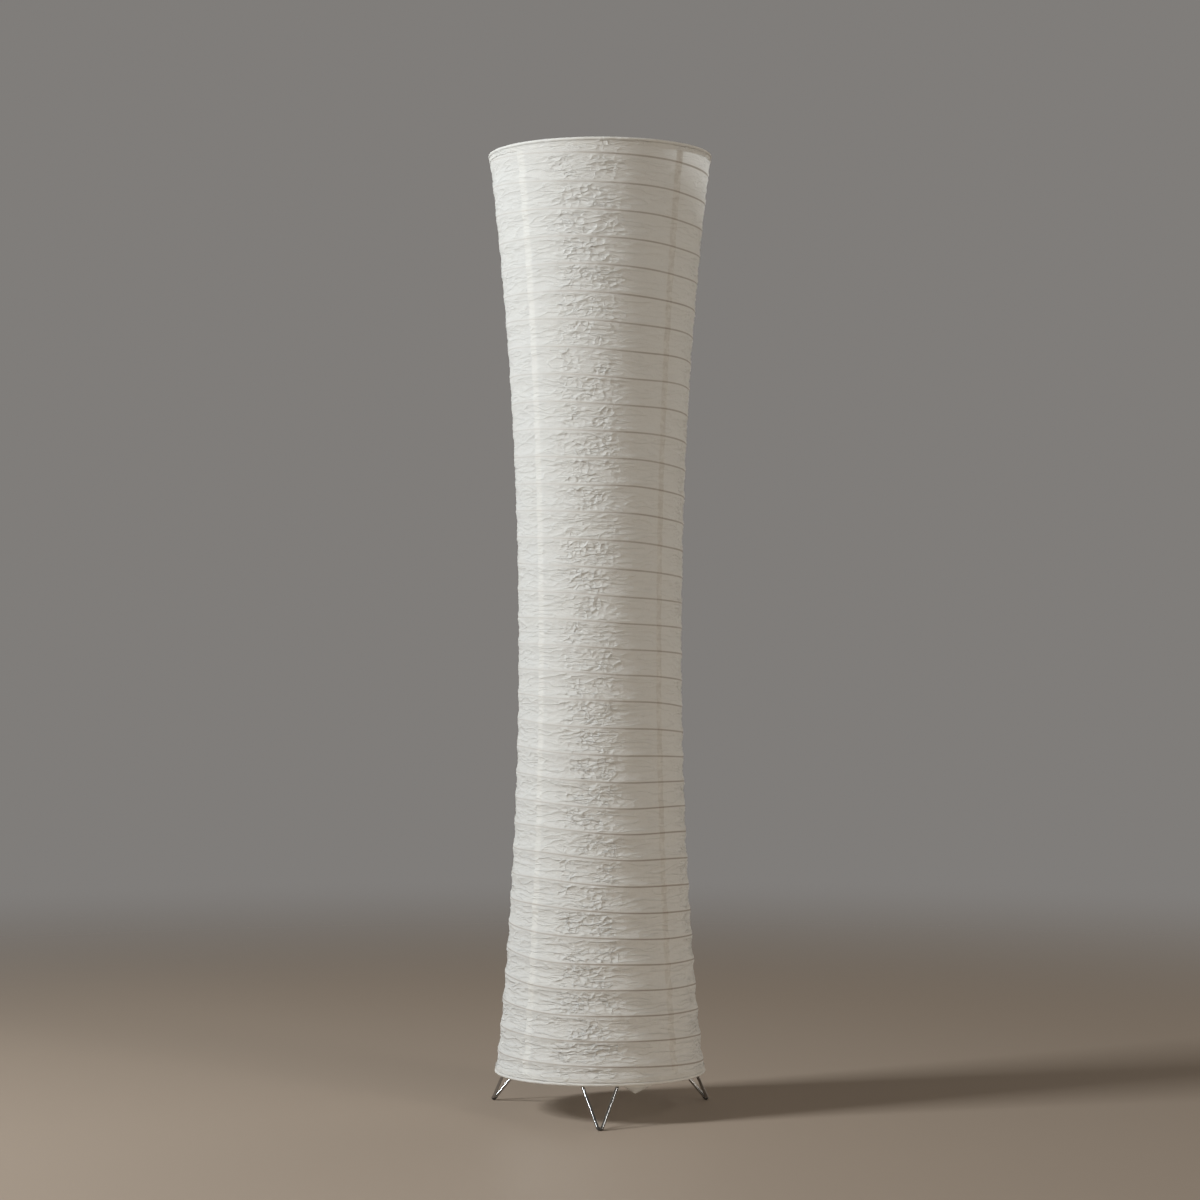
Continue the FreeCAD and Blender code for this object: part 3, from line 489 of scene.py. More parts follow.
def side_at(desk, height):
    """Outside of the paper at a height."""
    rise = height - desk.size("Waist height")
    arc = desk.size("Side radius")
    return desk.size("Waist radius") + arc - (arc * arc - rise * rise).root()


def round_axis(desk, azimuth, radius, height):
    """The point at an azimuth, radius and height about the lamp's axis."""
    return desk.vector(azimuth.cosine() * radius, azimuth.sine() * radius, height)


def rib_sway(desk, azimuth, height):
    """How far a turn of the rib lies above or below its even place."""
    inside = ((height - desk.size("Rib bottom")).step(0.0, RIB_SETTLES)
              * (desk.size("Rib top") - height).step(0.0, RIB_SETTLES))
    slow = desk.noise(round_axis(desk, azimuth, MEAN_RADIUS, height), 6.5, detail=0) - 0.5
    return slow * inside * desk.size("Rib sway")


def shade_sizes(s):
    """The sizes that the gores and the rib share, by the names of their inputs."""
    return {"Waist radius": s.waist_radius, "Waist height": s.waist_height,
            "Side radius": s.side_radius, "Rib turns": s.rib_turns, "Rib gather": s.rib_gather,
            "Rib start": s.rib_start, "Rib sway": s.rib_sway, "Rib top": RIB_HIGH,
            "Rib bottom": RIB_LOW}


COUNT_SEAM = math.radians(222.4)  # where the count of turns starts again, under a lap
BAY_SHIFT = (0.37, 0.21, 0.83)  # how far apart in the noise the bays between turns lie
RIB_SOFTNESS = 0.03  # turns over which the paper starts to draw in
BAND_SHIFT = 0.12  # angle from a gore's middle to its crumpled band


def gore_shape(s):
    """The tree of one gore: a grid laid on the lantern's side, drawn in between ribs and crumpled."""
    desk = ShapeDesk("gore", {
        "Columns": s.columns, "Rows": s.rows, "Middle": 0.0, "Angle": s.gore_angle, "Bottom": GORE_LOW,
        "Top": GORE_HIGH, "Sunk": 0.0, **shade_sizes(s), "Scallop": s.scallop, "Fold": s.fold,
        "Crinkle": s.crinkle})
    size = desk.size
    grid = desk.node("GeometryNodeMeshGrid", {}, {
        "Size X": 1.0, "Size Y": 1.0, "Vertices X": size("Columns"), "Vertices Y": size("Rows")})
    across, up, _ = desk.split(desk.node("GeometryNodeInputPosition"))
    azimuth = size("Middle") + across * size("Angle")
    height = size("Bottom") + (up + 0.5) * (size("Top") - size("Bottom"))

    # How many turns of the rib lie above this point: whole numbers are on the rib.
    gather = size("Rib gather")
    swayed = height - rib_sway(desk, azimuth, height)
    down = (size("Rib top") - swayed) / (size("Rib top") - size("Rib bottom"))
    share = (1 + gather - ((1 + gather) ** 2 - 4 * gather * down).root()) / (2 * gather)
    turns = share * size("Rib turns") - (azimuth - size("Rib start")) / TURN
    off_rib = abs(turns - turns.nearest())
    near = (off_rib * off_rib + RIB_SOFTNESS ** 2).root() - RIB_SOFTNESS

    # The same crumple field serves all gores, so that laps stay a layer apart. It changes at each rib,
    # because the rib, stuck to the paper, stops a crease.
    wrapped = azimuth - ((azimuth - COUNT_SEAM) / TURN).floor() * TURN
    bay = (share * size("Rib turns") - (wrapped - size("Rib start")) / TURN).floor()
    on_side = round_axis(desk, azimuth, MEAN_RADIUS, height)
    at = desk.shifted(on_side, desk.vector(*(bay * shift for shift in BAY_SHIFT)))
    middle = 0.5 + 0.5 * ((azimuth + BAND_SHIFT) * len(GORE_SIDES)).cosine()
    gathered = 0.30 + 0.70 * desk.noise(on_side, 34, detail=2).step(0.38, 0.58)
    patch = gathered * (0.06 + 0.94 * middle.step(0.35, 0.95))
    swells = desk.noise(desk.scaled(at, (1, 1, 3.0)), 14, detail=1) - 0.5
    relief = desk.crumpled(at, patch, 1.5) + swells * 0.5

    pinned = 0.05 + 0.95 * off_rib.step(0.0, 0.10)
    unglued = (height - size("Bottom")).step(0.004, 0.014) * (size("Top") - height).step(0.004, 0.014)
    uneven = 0.55 + 0.9 * desk.noise(on_side, 20, detail=1)
    slack = 1.9 - height.step(0.05, 0.75)
    drawn = size("Scallop") * -4 * near * (1 - near) * uneven * slack
    crease = (1 - ((0.5 - off_rib) / 0.045).least(1.0)) ** 1.5
    folded = size("Fold") * slack * crease * desk.noise(on_side, 17, detail=1).step(0.38, 0.62) * 1.6
    crumpled = size("Crinkle") * relief * pinned * (0.75 + slack * 0.25)
    radius = side_at(desk, height) - size("Sunk") + (drawn + folded + crumpled) * unglued

    edge = (1 - 2 * abs(across)) * size("Angle") * 0.5
    lap = 1 - (edge / LAP_ANGLE).step(0.97, 1.03)
    sheet = grid
    for name, domain, kind, value in (
            ("turns", "POINT", "FLOAT", turns), ("lap", "POINT", "FLOAT", lap),
            ("patch", "POINT", "FLOAT", patch), ("creased", "POINT", "FLOAT_VECTOR", at),
            ("UVMap", "CORNER", "FLOAT2", desk.vector(azimuth * MEAN_RADIUS, height, 0.0))):
        sheet = desk.node("GeometryNodeStoreNamedAttribute", {"data_type": kind, "domain": domain},
                          {"Geometry": sheet, "Name": name, "Value": value})
    return desk.finish(desk.node("GeometryNodeSetPosition", {}, {
        "Geometry": sheet, "Position": round_axis(desk, azimuth, radius, height)}))


def rib_shape(s):
    """The tree of the rib: a wire wound down the inside of the paper."""
    desk = ShapeDesk("wound_rib", {
        "Points": int(s.rib_turns * 48) + 1, **shade_sizes(s), "Rib depth": s.rib_depth,
        "Rib wire": s.rib_wire, "Flats": 8})
    size = desk.size
    line = desk.node("GeometryNodeCurvePrimitiveLine")
    line = desk.node("GeometryNodeResampleCurve", {}, {"Curve": line, "Count": size("Points")})
    share = desk.node("GeometryNodeInputIndex") / (size("Points") - 1)
    fallen = share + size("Rib gather") * share * (1 - share)
    height = size("Rib top") - (size("Rib top") - size("Rib bottom")) * fallen
    azimuth = size("Rib start") + share * size("Rib turns") * TURN
    height = height + rib_sway(desk, azimuth, height)
    radius = side_at(desk, height) - size("Rib depth")
    wound = desk.node("GeometryNodeSetPosition", {}, {
        "Geometry": line, "Position": round_axis(desk, azimuth, radius, height)})
    section = desk.node("GeometryNodeCurvePrimitiveCircle", {}, {
        "Resolution": size("Flats"), "Radius": size("Rib wire") / 2})
    return desk.finish(desk.node("GeometryNodeCurveToMesh", {}, {
        "Curve": wound, "Profile Curve": section, "Fill Caps": True}))


def side_radius_at(s, height):
    """The radius of side_at, as a plain number."""
    rise, arc = height - s.waist_height, s.side_radius
    return s.waist_radius + arc - math.sqrt(arc ** 2 - rise ** 2)


def gather_up(piece):
    """Gives a paper piece a copy of its mesh of its own."""
    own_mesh(piece)


class LANTERN_OT_gores(bpy.types.Operator):
    """Lay the four crumpled gores of the shade"""
    bl_idname = "lantern.gores"
    bl_label = "Gores"

    def execute(self, context):
        s = context.scene.lantern_shade
        desk = gore_shape(s)
        paper = paper_material(s.paper)
        for side, (azimuth, sunk) in GORE_SIDES.items():
            gore = grown(f"paper_gore_{side}", desk, paper, middle=math.radians(azimuth),
                         sunk=sunk * LAP_DEPTH)
            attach(gore, "stand")
            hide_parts(f"gore_{side}")
            girth = s.gore_angle * side_radius_at(s, GORE_HIGH)
            tall = GORE_HIGH - GORE_LOW
            levels = [GORE_LOW + tall * n / 40 for n in range(41)]
            mean = s.gore_angle * sum(side_radius_at(s, level) for level in levels) / len(levels)
            mean * tall
            gather_up(gore)
        return {"FINISHED"}


class LANTERN_OT_rib(bpy.types.Operator):
    """Wind the rib down the inside of the shade"""
    bl_idname = "lantern.rib"
    bl_label = "Rib"

    def execute(self, context):
        s = context.scene.lantern_shade
        wire = metal_material("rib_wire_steel", (0.42, 0.42, 0.42), 0.35, grain=(1, 1, 6), stain=0.3)
        rib = grown("wound_rib", rib_shape(s), wire)
        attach(rib, "stand")
        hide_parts("rib_wire")
        gather_up(rib)
        return {"FINISHED"}


def paper_strip(name, lines, length, order, closed):
    """A paper piece through lines of points that run down it, with a UV map as long as the strip. The
    order says which way round the faces go."""
    work = bmesh.new()
    uv = work.loops.layers.uv.new("UVMap")
    lines = [[work.verts.new(point) for point in line] for line in lines]
    spans = len(lines) if closed else len(lines) - 1
    for step in range(spans):
        line, after = lines[step], lines[(step + 1) % len(lines)]
        for n in range(len(line) - 1):
            corners = (line[n], after[n], after[n + 1], line[n + 1])
            face = work.faces.new([corners[which] for which in order])
            for loop in face.loops:
                which = corners.index(loop.vert)
                loop[uv].uv = (step + (which in (1, 2))) * length / spans, (n + (which in (2, 3))) * MM
    return from_bmesh(name, work)


HEM_LIP = 7.5 * MM  # from the hoop to the torn edge on the gores
HEM_LIFT = 0.25 * MM  # of the lip over the gores
HEM_SKIN = 2.1 * MM  # radius of the fold round the hoop
HEM_GROOVE = 2.0 * MM  # from the hoop to the crease beside it
HEM_TORN_POINTS = 5
HEM_GRAIN = 140 * MM  # radius at which the noises are read

# Noises of the hems, as (cells a metre, height in millimetres)
TORN_EDGE = ((60, 1.2), (260, 0.5))
PUCKERS = ((110, 0.26), (300, 0.182))


def uneven(at, noises):
    """The sum of some noises at a place."""
    return sum(noise.noise(at * scale) * height for scale, height in noises) * MM


def hem_outline(s, hoop, upwards, flap=6, bead=14):
    """Section of a hem from its lip on the gores round to its inner edge, as (radius, height)."""
    radius, middle = hoop
    lip = middle - upwards * HEM_LIP
    edge = (GORE_HIGH if upwards > 0 else GORE_LOW) + upwards * 0.2 * MM
    tuck = math.radians(-62)
    points = []
    for n in range(flap + 1):
        height = lip + (edge - lip) * n / flap
        points.append((side_radius_at(s, height) + HEM_LIFT, height))
    for n in range(bead + 1):
        angle = tuck + (math.pi - tuck) * n / bead
        points.append((radius + HEM_SKIN * math.cos(angle),
                       middle + upwards * HEM_SKIN * math.sin(angle)))
    for n in (1, 2):
        points.append((radius - HEM_SKIN - 0.1 * MM * n, middle - upwards * 1.2 * MM * n))
    return points


def hem_strip(name, s, hoop, upwards, seed, steps=540):
    """A paper strip folded round a hoop, with an uneven torn edge and small puckers."""
    outline = hem_outline(s, hoop, upwards)
    lines = []
    for step in range(steps):
        toward = outwards(TURN * step / steps)
        line = []
        for n, (radius, height) in enumerate(outline):
            at = toward * HEM_GRAIN + Vector((0, 0, height + seed))
            torn = max(0.0, 1 - n / HEM_TORN_POINTS) * uneven(at, TORN_EDGE)
            line.append(toward * (radius + uneven(at, PUCKERS)) + Vector((0, 0, height + torn)))
        lines.append(line)
    order = (0, 1, 2, 3) if upwards > 0 else (3, 2, 1, 0)
    return paper_strip(name, lines, TURN * hoop[0], order, closed=True)


def hem_paper(colour):
    """The hems' paper: the same sheet folded double, with a painted highlight on the beads round the
    hoops, painted shadow in the creases beside them and painted shade where it hangs.
    """
    desk = shader_desk("rice_paper_hem")
    cloud = desk.noise(desk.place, 40, detail=4, rough=0.6)
    fibre = desk.noise(desk.scaled(desk.place, (1, 1, 2.5)), 420, detail=3, rough=0.7, twist=1.2)
    patch = desk.noise(desk.place, 30, detail=2).step(0.40, 0.58)
    height = desk.split(desk.place)[2]
    # Painted highlight on the rolled beads round the hoops
    bead = (height.step(TOP_HOOP[1] - 1.0 * MM, TOP_HOOP[1] + 0.2 * MM)
            + 1 - height.step(BOTTOM_HOOP[1] - 0.2 * MM, BOTTOM_HOOP[1] + 1.0 * MM))
    # Painted shadow along the crease beside each hoop
    groove_shadow = sum(1 - (abs(height - level) / (0.5 * MM)).least(1.0)
                 for level in (TOP_HOOP[1] - HEM_GROOVE, BOTTOM_HOOP[1] + HEM_GROOVE))
    # Painted shade on the paper that hangs below the bottom hoop
    hung = 1 - height.step(BOTTOM_HOOP[1] - 5.0 * MM, BOTTOM_HOOP[1] - 2.2 * MM)
    tone = 0.85 + cloud * 0.08 + fibre * 0.08 + bead * 0.12 - groove_shadow * 0.30 - hung * 0.30
    shade = blend(desk, tone, BLACK,
                  blend(desk, cloud, colour, (colour[0] * 0.97, colour[1] * 0.945, colour[2] * 0.90)))
    bumps = bump(desk, fibre, 0.0004, 0.35)
    crumples = desk.crumpled(desk.place, patch, 0.8) * (1 - bead * 0.8)
    bumps = bump(desk, crumples, 0.0009, 0.8, under=bumps)
    feed(desk, Base_Color=shade, Roughness=0.8 + fibre * 0.12, Specular_IOR_Level=0.25, Normal=bumps)
    return let_through(desk, 0.16 + cloud * 0.04, colour)


# The loose corner of the bottom hem starts above and inside the hoop's line, is tucked in behind the
# hem for a share of its rows, and then bellies out, waves and curls back as it hangs.
CORNER = {"start": math.radians(-78.2), "tip": math.radians(-70.0), "end": math.radians(-58.5),
          "above": 3.6 * MM, "inside": 2.7 * MM, "tuck": 5.2 * MM, "tucked": 0.4, "drop": 10.6 * MM,
          "belly": 1.2 * MM, "wave": 0.7 * MM, "curl": 4.0 * MM}


def loose_corner(name, columns=72, rows=18):
    """A corner of the bottom hem's allowance that has come unglued and hangs below the hoop."""
    radius, middle = BOTTOM_HOOP
    reach = CORNER["end"] - CORNER["start"]
    tip = (CORNER["tip"] - CORNER["start"]) / reach
    tucked = CORNER["tucked"]
    lines = []
    for column in range(columns + 1):
        share = column / columns
        toward = outwards(CORNER["start"] + reach * share)
        drop = CORNER["drop"] * (share / tip if share < tip else ((1 - share) / (1 - tip)) ** 0.85)
        line = []
        for row in range(rows + 1):
            down = row / rows
            hung = max(0.0, (down - tucked) / (1 - tucked))
            wave = noise.noise(toward * 14 + Vector((0, 0, down * 1.5))) * CORNER["wave"] * hung
            inwards = (CORNER["inside"] - CORNER["belly"] * math.sin(hung * math.pi * 0.62)
                       + CORNER["curl"] * hung ** 2)
            height = middle + CORNER["above"] - CORNER["tuck"] * min(1.0, down / tucked) - drop * hung
            line.append(toward * (radius - inwards + wave) + Vector((0, 0, height)))
        lines.append(line)
    return paper_strip(name, lines, reach * radius, (0, 3, 2, 1), closed=False)


class LANTERN_OT_hems(bpy.types.Operator):
    """Fold the hems round the top and bottom hoops"""
    bl_idname = "lantern.hems"
    bl_label = "Hems"

    def execute(self, context):
        s = context.scene.lantern_shade
        paper = hem_paper(s.paper)
        for end, hoop, upwards, body in (("top", TOP_HOOP, 1, "stand"),
                                         ("bottom", BOTTOM_HOOP, -1, "skirt")):
            hem = hem_strip(f"paper_hem_{end}", s, hoop, upwards, seed=2.0 * upwards)
            hem.data.materials.append(paper)
            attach(hem, body)
            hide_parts(f"{end}_hem")
            outline = hem_outline(s, hoop, upwards)
            TURN * hoop[0]
        corner = loose_corner("paper_hem_corner")
        corner.data.materials.append(paper)
        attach(corner, "skirt")
        long, drop = (CORNER["end"] - CORNER["start"]) * BOTTOM_HOOP[0], CORNER["drop"]
        CORNER["tuck"] + drop
        long * (CORNER["tuck"] + drop * 0.53)
        return {"FINISHED"}


# ---- wire stand and fittings -----------------------------

def dress(node, material):
    """Gives a frame piece its finish."""
    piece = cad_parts[node]
    piece.data.materials.clear()
    piece.data.materials.append(material)


FOOT_SKIN = 0.33 * MM  # thickness of the sleeve
FOOT_TOP = 3.4 * MM
FOOT_FLAT = 0.22 * MM  # whatever is lower stands on the floor


def foot_skin(side):
    """A thin sleeve over the bend of a leg's wire, flat where it stands."""
    work = bmesh.new()
    work.from_mesh(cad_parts[f"leg_{side}"].data)
    bmesh.ops.remove_doubles(work, verts=work.verts, dist=2 * WELD)
    bmesh.ops.bisect_plane(work, geom=work.verts[:] + work.edges[:] + work.faces[:],
                           plane_co=(0, 0, FOOT_TOP), plane_no=(0, 0, 1), clear_outer=True)
    work.normal_update()
    pushed = [(vert, vert.co + vert.normal * FOOT_SKIN) for vert in work.verts]
    inner = {vert: work.verts.new(vert.co) for vert in work.verts[:] if vert.is_boundary}
    for loop in [edge.link_loops[0] for edge in work.edges if edge.is_boundary]:
        near, far = loop.vert, loop.link_loop_next.vert
        work.faces.new((far, near, inner[near], inner[far]))
    for vert, place in pushed:
        vert.co = place
    for vert in work.verts:
        vert.co.z = 0.0 if vert.co.z < FOOT_FLAT else vert.co.z
    bmesh.ops.recalc_face_normals(work, faces=work.faces)
    return from_bmesh(f"foot_skin_{side}", work)


class LANTERN_OT_stand(bpy.types.Operator):
    """Finish the wire legs, rings, uprights, bridge and sockets"""
    bl_idname = "lantern.stand"
    bl_label = "Stand"

    def execute(self, context):
        chrome = metal_material("chrome_wire", (0.43, 0.43, 0.43), 0.12, grain=(1, 1, 0.2), stain=0.08,
                                spots=0.1, depth=0.00001)
        sleeve = moulded_material("foot_vinyl", (0.045, 0.042, 0.040), 0.22, mottling=0.3,
                                  Coat_Weight=0.4)
        zinc = metal_material("zinc_plate", (0.62, 0.63, 0.64), 0.30, scale=240, stain=0.35)
        rod = metal_material("drawn_rod", (0.64, 0.64, 0.64), 0.28, grain=(6, 6, 1), stain=0.2)
        enamel = moulded_material("hoop_enamel", (0.78, 0.78, 0.76), 0.40)
        screw = metal_material("screw_steel", (0.48, 0.48, 0.49), 0.34, stain=0.3)
        for side in SIDES:
            dress(f"leg_{side}", chrome)
            skin = foot_skin(side)
            skin.data.materials.append(sleeve)
            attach(skin, "stand")
            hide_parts(f"foot_sleeve_{side}")
            dress(f"socket_{side}", zinc)
            dress(f"upright_{side}", rod)
        for node, material in (("base_ring", chrome), ("bridge_plate", zinc), ("socket_screws", screw),
                               ("head_ring", rod), ("top_hoop", enamel), ("bottom_hoop", enamel)):
            dress(node, material)
        return {"FINISHED"}


def turned(name, outline, pattern=lambda azimuth, height: 0.0, steps=144):
    """A piece turned about the lamp's axis from a closed outline of (radius, height, bite). A pattern
    of flutes or a thread, whose depth goes by azimuth and height, is cut into it as the bite says."""
    work = bmesh.new()
    rings = []
    for step in range(steps):
        azimuth = TURN * step / steps
        toward = outwards(azimuth)
        rings.append([work.verts.new(toward * (radius - bite * pattern(azimuth, height))
                                     + Vector((0, 0, height))) for radius, height, bite in outline])
    for ring, after in zip(rings, rings[1:] + rings[:1]):
        for n in range(len(outline)):
            work.faces.new((ring[n - 1], after[n - 1], after[n], ring[n]))
    bmesh.ops.remove_doubles(work, verts=work.verts, dist=WELD)
    bmesh.ops.recalc_face_normals(work, faces=work.faces)
    piece = from_bmesh(name, work)
    piece.data.set_sharp_from_angle(angle=math.radians(38))
    return piece


def plain(*points):
    """Outline points that no pattern is cut into."""
    return [(radius, height, 0.0) for radius, height in points]


def cut_wall(foot, head, count, run_out=8):
    """Points up a wall from foot to head, with a pattern that runs out at both ends."""
    return [(foot[0] + (head[0] - foot[0]) * n / count, foot[1] + (head[1] - foot[1]) * n / count,
             min(1.0, n / run_out, (count - n) / run_out)) for n in range(count + 1)]


def screw_thread(pitch, depth):
    """A rounded right-hand screw thread."""
    return lambda azimuth, height: depth * (0.5 - 0.5 * math.cos(TURN * height / pitch - azimuth))


def flutes(count, depth):
    """Upright finger grooves."""
    return lambda azimuth, height: depth * (0.5 + 0.5 * math.cos(azimuth * count)) ** 2


BULB_NECK = 12.6 * MM  # radius
BULB_THREAD = (3.63 * MM, 0.9 * MM)  # pitch and depth
RING_THREAD = (3.0 * MM, 0.8 * MM)
HOLDER_WALL = 1.8 * MM
EDGE = 0.4 * MM  # how far an edge is rounded off


def bulb_envelope(arc=40, shoulder=16):
    """The bulb's glass: a globe that draws in through a smooth curve to a straight neck."""
    bottom, top = ends("bulb_glass")
    radius = outer_radius("bulb_glass")
    middle, leave = top - radius, math.radians(-32)
    outline = plain((0, top))
    for n in range(1, arc + 1):
        angle = math.pi / 2 + (leave - math.pi / 2) * n / arc
        outline += plain((radius * math.cos(angle), middle + radius * math.sin(angle)))
    start = Vector((radius * math.cos(leave), middle + radius * math.sin(leave)))
    heading, end = Vector((math.sin(leave), -math.cos(leave))), Vector((BULB_NECK, bottom + 12 * MM))
    reach = (end - start).length
    for n in range(1, shoulder + 1):
        t = n / shoulder
        at = (start * (1 - t) ** 2 * (1 + 2 * t) + end * t ** 2 * (3 - 2 * t)
              + heading * reach * t * (1 - t) ** 2 + Vector((0, -1)) * reach * t ** 2 * (t - 1))
        outline += plain((at.x, at.y))
    outline += plain((BULB_NECK, bottom + EDGE), (BULB_NECK - EDGE, bottom), (0, bottom))
    return turned("bulb_envelope", outline)


def bulb_screw_cap():
    """The bulb's tin cap, with a rolled thread and a soldered shoulder."""
    bottom, top = ends("bulb_cap")
    radius, shoulder = outer_radius("bulb_cap"), outer_radius("bulb_insulator")
    low, high = bottom + 2 * MM, top - 1.5 * MM
    outline = plain((0, bottom), (shoulder, bottom), (radius - 0.5 * MM, bottom + 1 * MM))
    outline += cut_wall((radius, low), (radius, high), 48)
    outline += plain((radius - EDGE, high + 0.5 * MM), (radius - EDGE, top - 0.3 * MM), (radius, top),
                     (0, top))
    return turned("bulb_screw_cap", outline, screw_thread(*BULB_THREAD))


def lamp_holder_shell():
    """The holder's outer shell: it narrows to a rim over the screw shell and has a ring thread."""
    bottom, top = ends("holder_shell")
    radius = outer_radius("holder_shell")
    inside, lip = radius - HOLDER_WALL, outer_radius("holder_thread") + 0.1 * MM
    core_top = ends("holder_core")[1]

    def outside(height):
        return radius + (lip + HOLDER_WALL - radius) * (height - bottom) / (top - bottom)

    low, high = bottom + 5 * MM, top - 3 * MM
    outline = plain((inside, bottom), (radius - EDGE, bottom), (radius, bottom + EDGE))
    outline += cut_wall((outside(low), low), (outside(high), high), 84)
    outline += plain((outside(top) - 0.1 * MM, top - 0.7 * MM), (outside(top) - 0.7 * MM, top),
                     (lip + 0.3 * MM, top), (lip, top - EDGE), (lip, top - HOLDER_WALL),
                     (inside, core_top + HOLDER_WALL))
    return turned("lamp_holder_shell", outline, screw_thread(*RING_THREAD))


def lamp_holder_cap(corner=8):
    """The holder's cap: it widens in a curve from the bridge and is fluted for the fingers."""
    bottom, top = ends("holder_cap")
    radius = outer_radius("holder_cap")
    inside, bore = radius - HOLDER_WALL, outer_radius("nipple") + 0.1 * MM
    foot, dome, floor = 13 * MM, 8 * MM, bottom + HOLDER_WALL
    outline = plain((bore, bottom), (foot - 0.3 * MM, bottom))
    for n in range(corner + 1):
        angle = math.pi / 2 * n / corner
        outline += plain((foot + (radius - foot) * math.sin(angle),
                          bottom + EDGE + dome * (1 - math.cos(angle))))
    outline += cut_wall((radius, bottom + dome + 1 * MM), (radius, top - 1.2 * MM), 20, run_out=3)
    outline += plain((radius, top - EDGE), (radius - EDGE, top), (inside, top), (inside, floor + dome),
                     (foot, floor), (bore, floor))
    return turned("lamp_holder_cap", outline, flutes(36, 0.7 * MM), steps=288)


class LANTERN_OT_holder(bpy.types.Operator):
    """Finish the lampholder, its fixings and the bulb"""
    bl_idname = "lantern.holder"
    bl_label = "Holder and bulb"

    def execute(self, context):
        white = moulded_material("holder_moulding", (0.80, 0.80, 0.77), 0.36)
        ceramic = moulded_material("holder_ceramic", (0.82, 0.80, 0.75), 0.6, mottling=0.12)
        brass = metal_material("lamp_brass", (0.78, 0.58, 0.26), 0.26, stain=0.3)
        steel = metal_material("fixing_steel", (0.50, 0.50, 0.51), 0.34, stain=0.3)
        solder = metal_material("solder", (0.45, 0.45, 0.46), 0.5, stain=0.4)
        black = moulded_material("vitrite", (0.02, 0.02, 0.025), 0.2)
        cap = metal_material("bulb_cap_tin", (0.74, 0.74, 0.75), 0.24, stain=0.2)
        glass = moulded_material("opal_glass", (0.88, 0.88, 0.86), 0.16, mottling=0.04, depth=0.00005)
        for node, material in (
                ("nipple", brass), ("washer", steel), ("locknut", steel), ("cord_grip", white),
                ("holder_core", ceramic), ("holder_contact", brass), ("holder_thread", brass),
                ("bulb_contact", solder), ("bulb_insulator", black)):
            dress(node, material)
        for piece, node, body, slot, material in (
                (bulb_envelope(), "bulb_glass", "bulb", "opal_glass", glass),
                (bulb_screw_cap(), "bulb_cap", "bulb", "bulb_cap", cap),
                (lamp_holder_shell(), "holder_shell", "stand", "white_holder", white),
                (lamp_holder_cap(), "holder_cap", "stand", "white_holder", white)):
            piece.data.materials.append(material)
            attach(piece, body)
            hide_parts(node)
        return {"FINISHED"}


# ---- stage -----------------------------------------------

# Colour of the light from all round, and of the backdrop
AMBIENT, BACKDROP = (0.105, 0.094, 0.080), (0.215, 0.205, 0.195)

# Name, place, point lit, size, power in watts and colour
LIGHTS = (
    ("window", (-2.47, -1.02, 1.9), (0, 0, 0.80), (0.7, 0.8), 93, (0.88, 0.925, 0.955)),
    ("glint", (2.3, -2.4, 3.05), (0, 0, 0), (0.5, 0.5), 10.0, (1.0, 0.98, 0.95)),
    ("front_fill", (4.6, -6.6, 1.6), (0, 0, 0.7), (4.8, 2.6), 160, (1.0, 0.905, 0.79)),
    ("back_fill", (5.4, 5.2, 1.6), (0, 0, 0.7), (4.8, 2.6), 100, (1.0, 0.94, 0.86)))


def area_light(name, place, aim, size, power, colour):
    """An oblong light that faces a point."""
    light = bpy.data.lights.new(name, "AREA")
    light.shape, light.size, light.size_y = "RECTANGLE", *size
    light.energy, light.color = power, colour
    lamp = bpy.data.objects.new(name, light)
    bpy.context.scene.collection.objects.link(lamp)
    lamp.location = place
    lamp.rotation_euler = (Vector(aim) - Vector(place)).to_track_quat("-Z", "Y").to_euler()


def floor_material(colour):
    """A smooth floor that fades out into the backdrop."""
    desk = shader_desk("floor")
    cloud = desk.noise(desk.place, 1.4, detail=3)
    shade = blend(desk, cloud, tuple(colour), tuple(c * 0.96 for c in colour))
    east, north, _ = desk.split(desk.place)
    far = (east * east + north * north).root().step(1.0, 3.6)
    feed(desk, Base_Color=shade, Roughness=0.46 + cloud * 0.06, Specular_IOR_Level=0.25, Alpha=1 - far)
    return desk.material


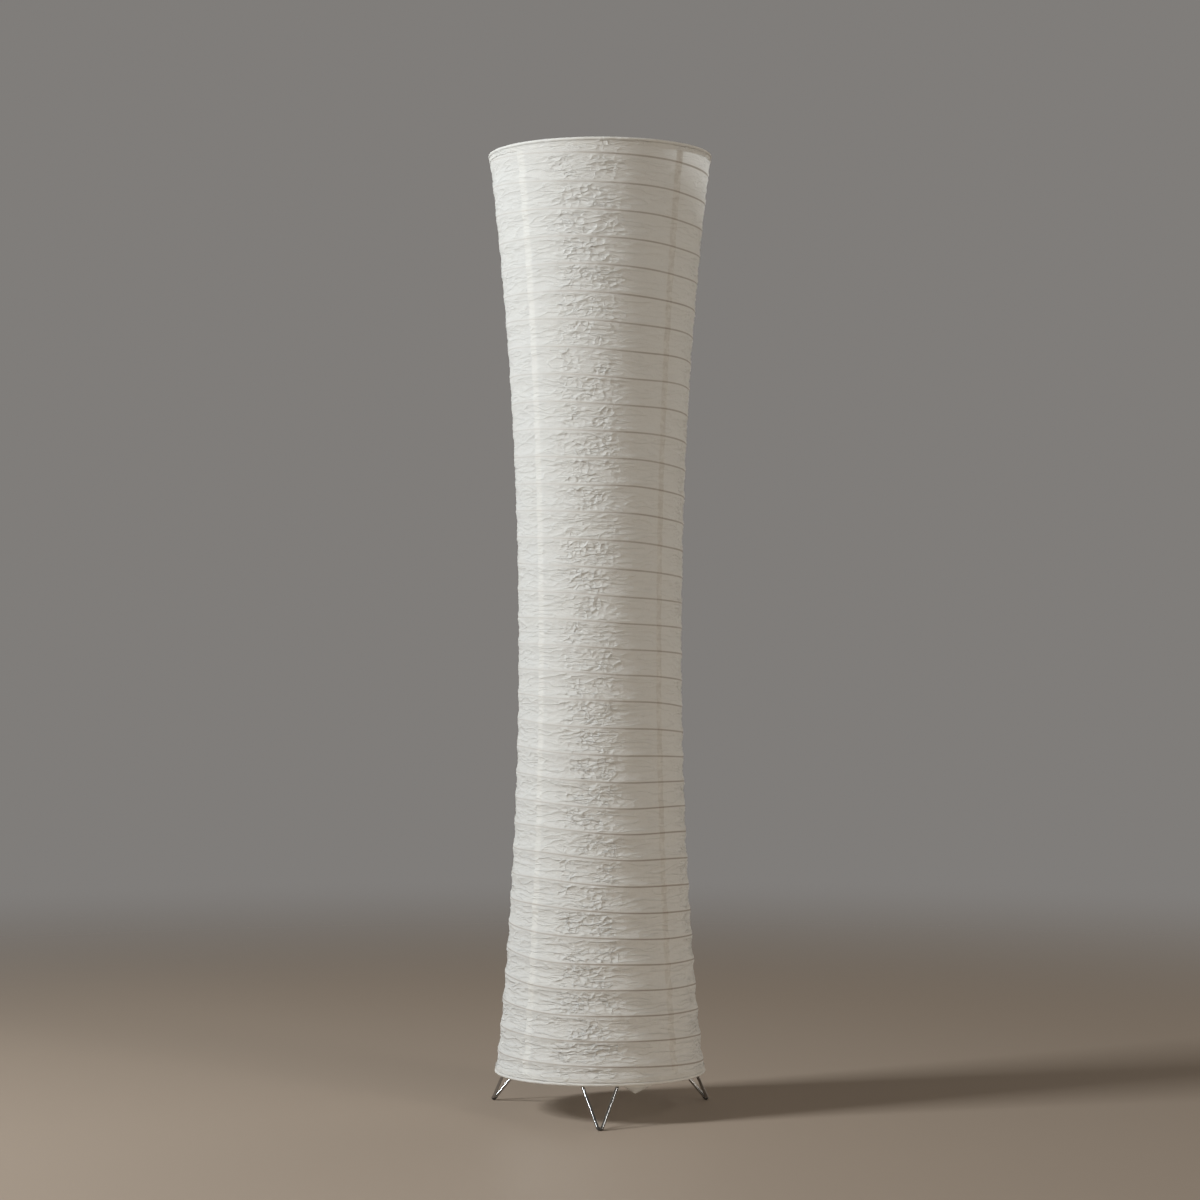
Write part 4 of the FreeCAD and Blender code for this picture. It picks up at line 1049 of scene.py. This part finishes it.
class LANTERN_OT_stage(bpy.types.Operator):
    """Set the camera, the floor and the soft lights"""
    bl_idname = "lantern.stage"
    bl_label = "Stage"

    def execute(self, context):
        scene, s = context.scene, context.scene.lantern_stage
        camera = bpy.data.objects.new("camera", bpy.data.cameras.new("camera"))
        scene.collection.objects.link(camera)
        camera.location = (0, -s.camera_distance, s.camera_height)
        camera.rotation_euler = (math.pi / 2, 0, 0)
        camera.data.lens = s.lens
        camera.data.shift_y = s.horizon_drop
        scene.camera = camera

        bpy.ops.mesh.primitive_circle_add(vertices=96, radius=30, fill_type="NGON")
        floor = context.object
        floor.name = "floor"
        floor.data.materials.append(floor_material(s.floor))

        world = bpy.data.worlds.new("studio")
        scene.world = world
        world.use_nodes = True
        sky = Desk(world.node_tree)
        seen = sky.node("ShaderNodeLightPath", output="Is Camera Ray")
        shade = blend(sky, seen, AMBIENT, BACKDROP)
        world.node_tree.links.new(shade.socket, world.node_tree.nodes["Background"].inputs["Color"])
        for light in LIGHTS:
            area_light(*light)
        scene.view_settings.view_transform = "Standard"
        return {"FINISHED"}


# ---- panel and registration ------------------------------

OPERATORS = (LANTERN_OT_stage, LANTERN_OT_gores, LANTERN_OT_rib, LANTERN_OT_hems, LANTERN_OT_stand,
             LANTERN_OT_holder)
SETTINGS = {"lantern_shade": ShadeSettings, "lantern_stage": StageSettings}


class LANTERN_PT_panel(bpy.types.Panel):
    """Lists the lamp's operators and sizes"""
    bl_idname = "LANTERN_PT_panel"
    bl_label = "Paper lantern lamp"
    bl_space_type = "VIEW_3D"
    bl_region_type = "UI"
    bl_category = "Lantern"

    def draw(self, context):
        for operator in OPERATORS:
            self.layout.operator(operator.bl_idname)
        for name, group in SETTINGS.items():
            box = self.layout.box()
            for prop in group.__annotations__:
                box.prop(getattr(context.scene, name), prop)


def register():
    for group in (*SETTINGS.values(), *OPERATORS, LANTERN_PT_panel):
        bpy.utils.register_class(group)
    for name, group in SETTINGS.items():
        setattr(bpy.types.Scene, name, PointerProperty(type=group))


def unregister():
    for name in SETTINGS:
        delattr(bpy.types.Scene, name)
    for group in (LANTERN_PT_panel, *reversed(OPERATORS), *reversed(list(SETTINGS.values()))):
        bpy.utils.unregister_class(group)


def main():
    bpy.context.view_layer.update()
    register()
    for operator in OPERATORS:
        group, name = operator.bl_idname.split(".")
        getattr(getattr(bpy.ops, group), name)()


if __name__ == "__main__":
    main()
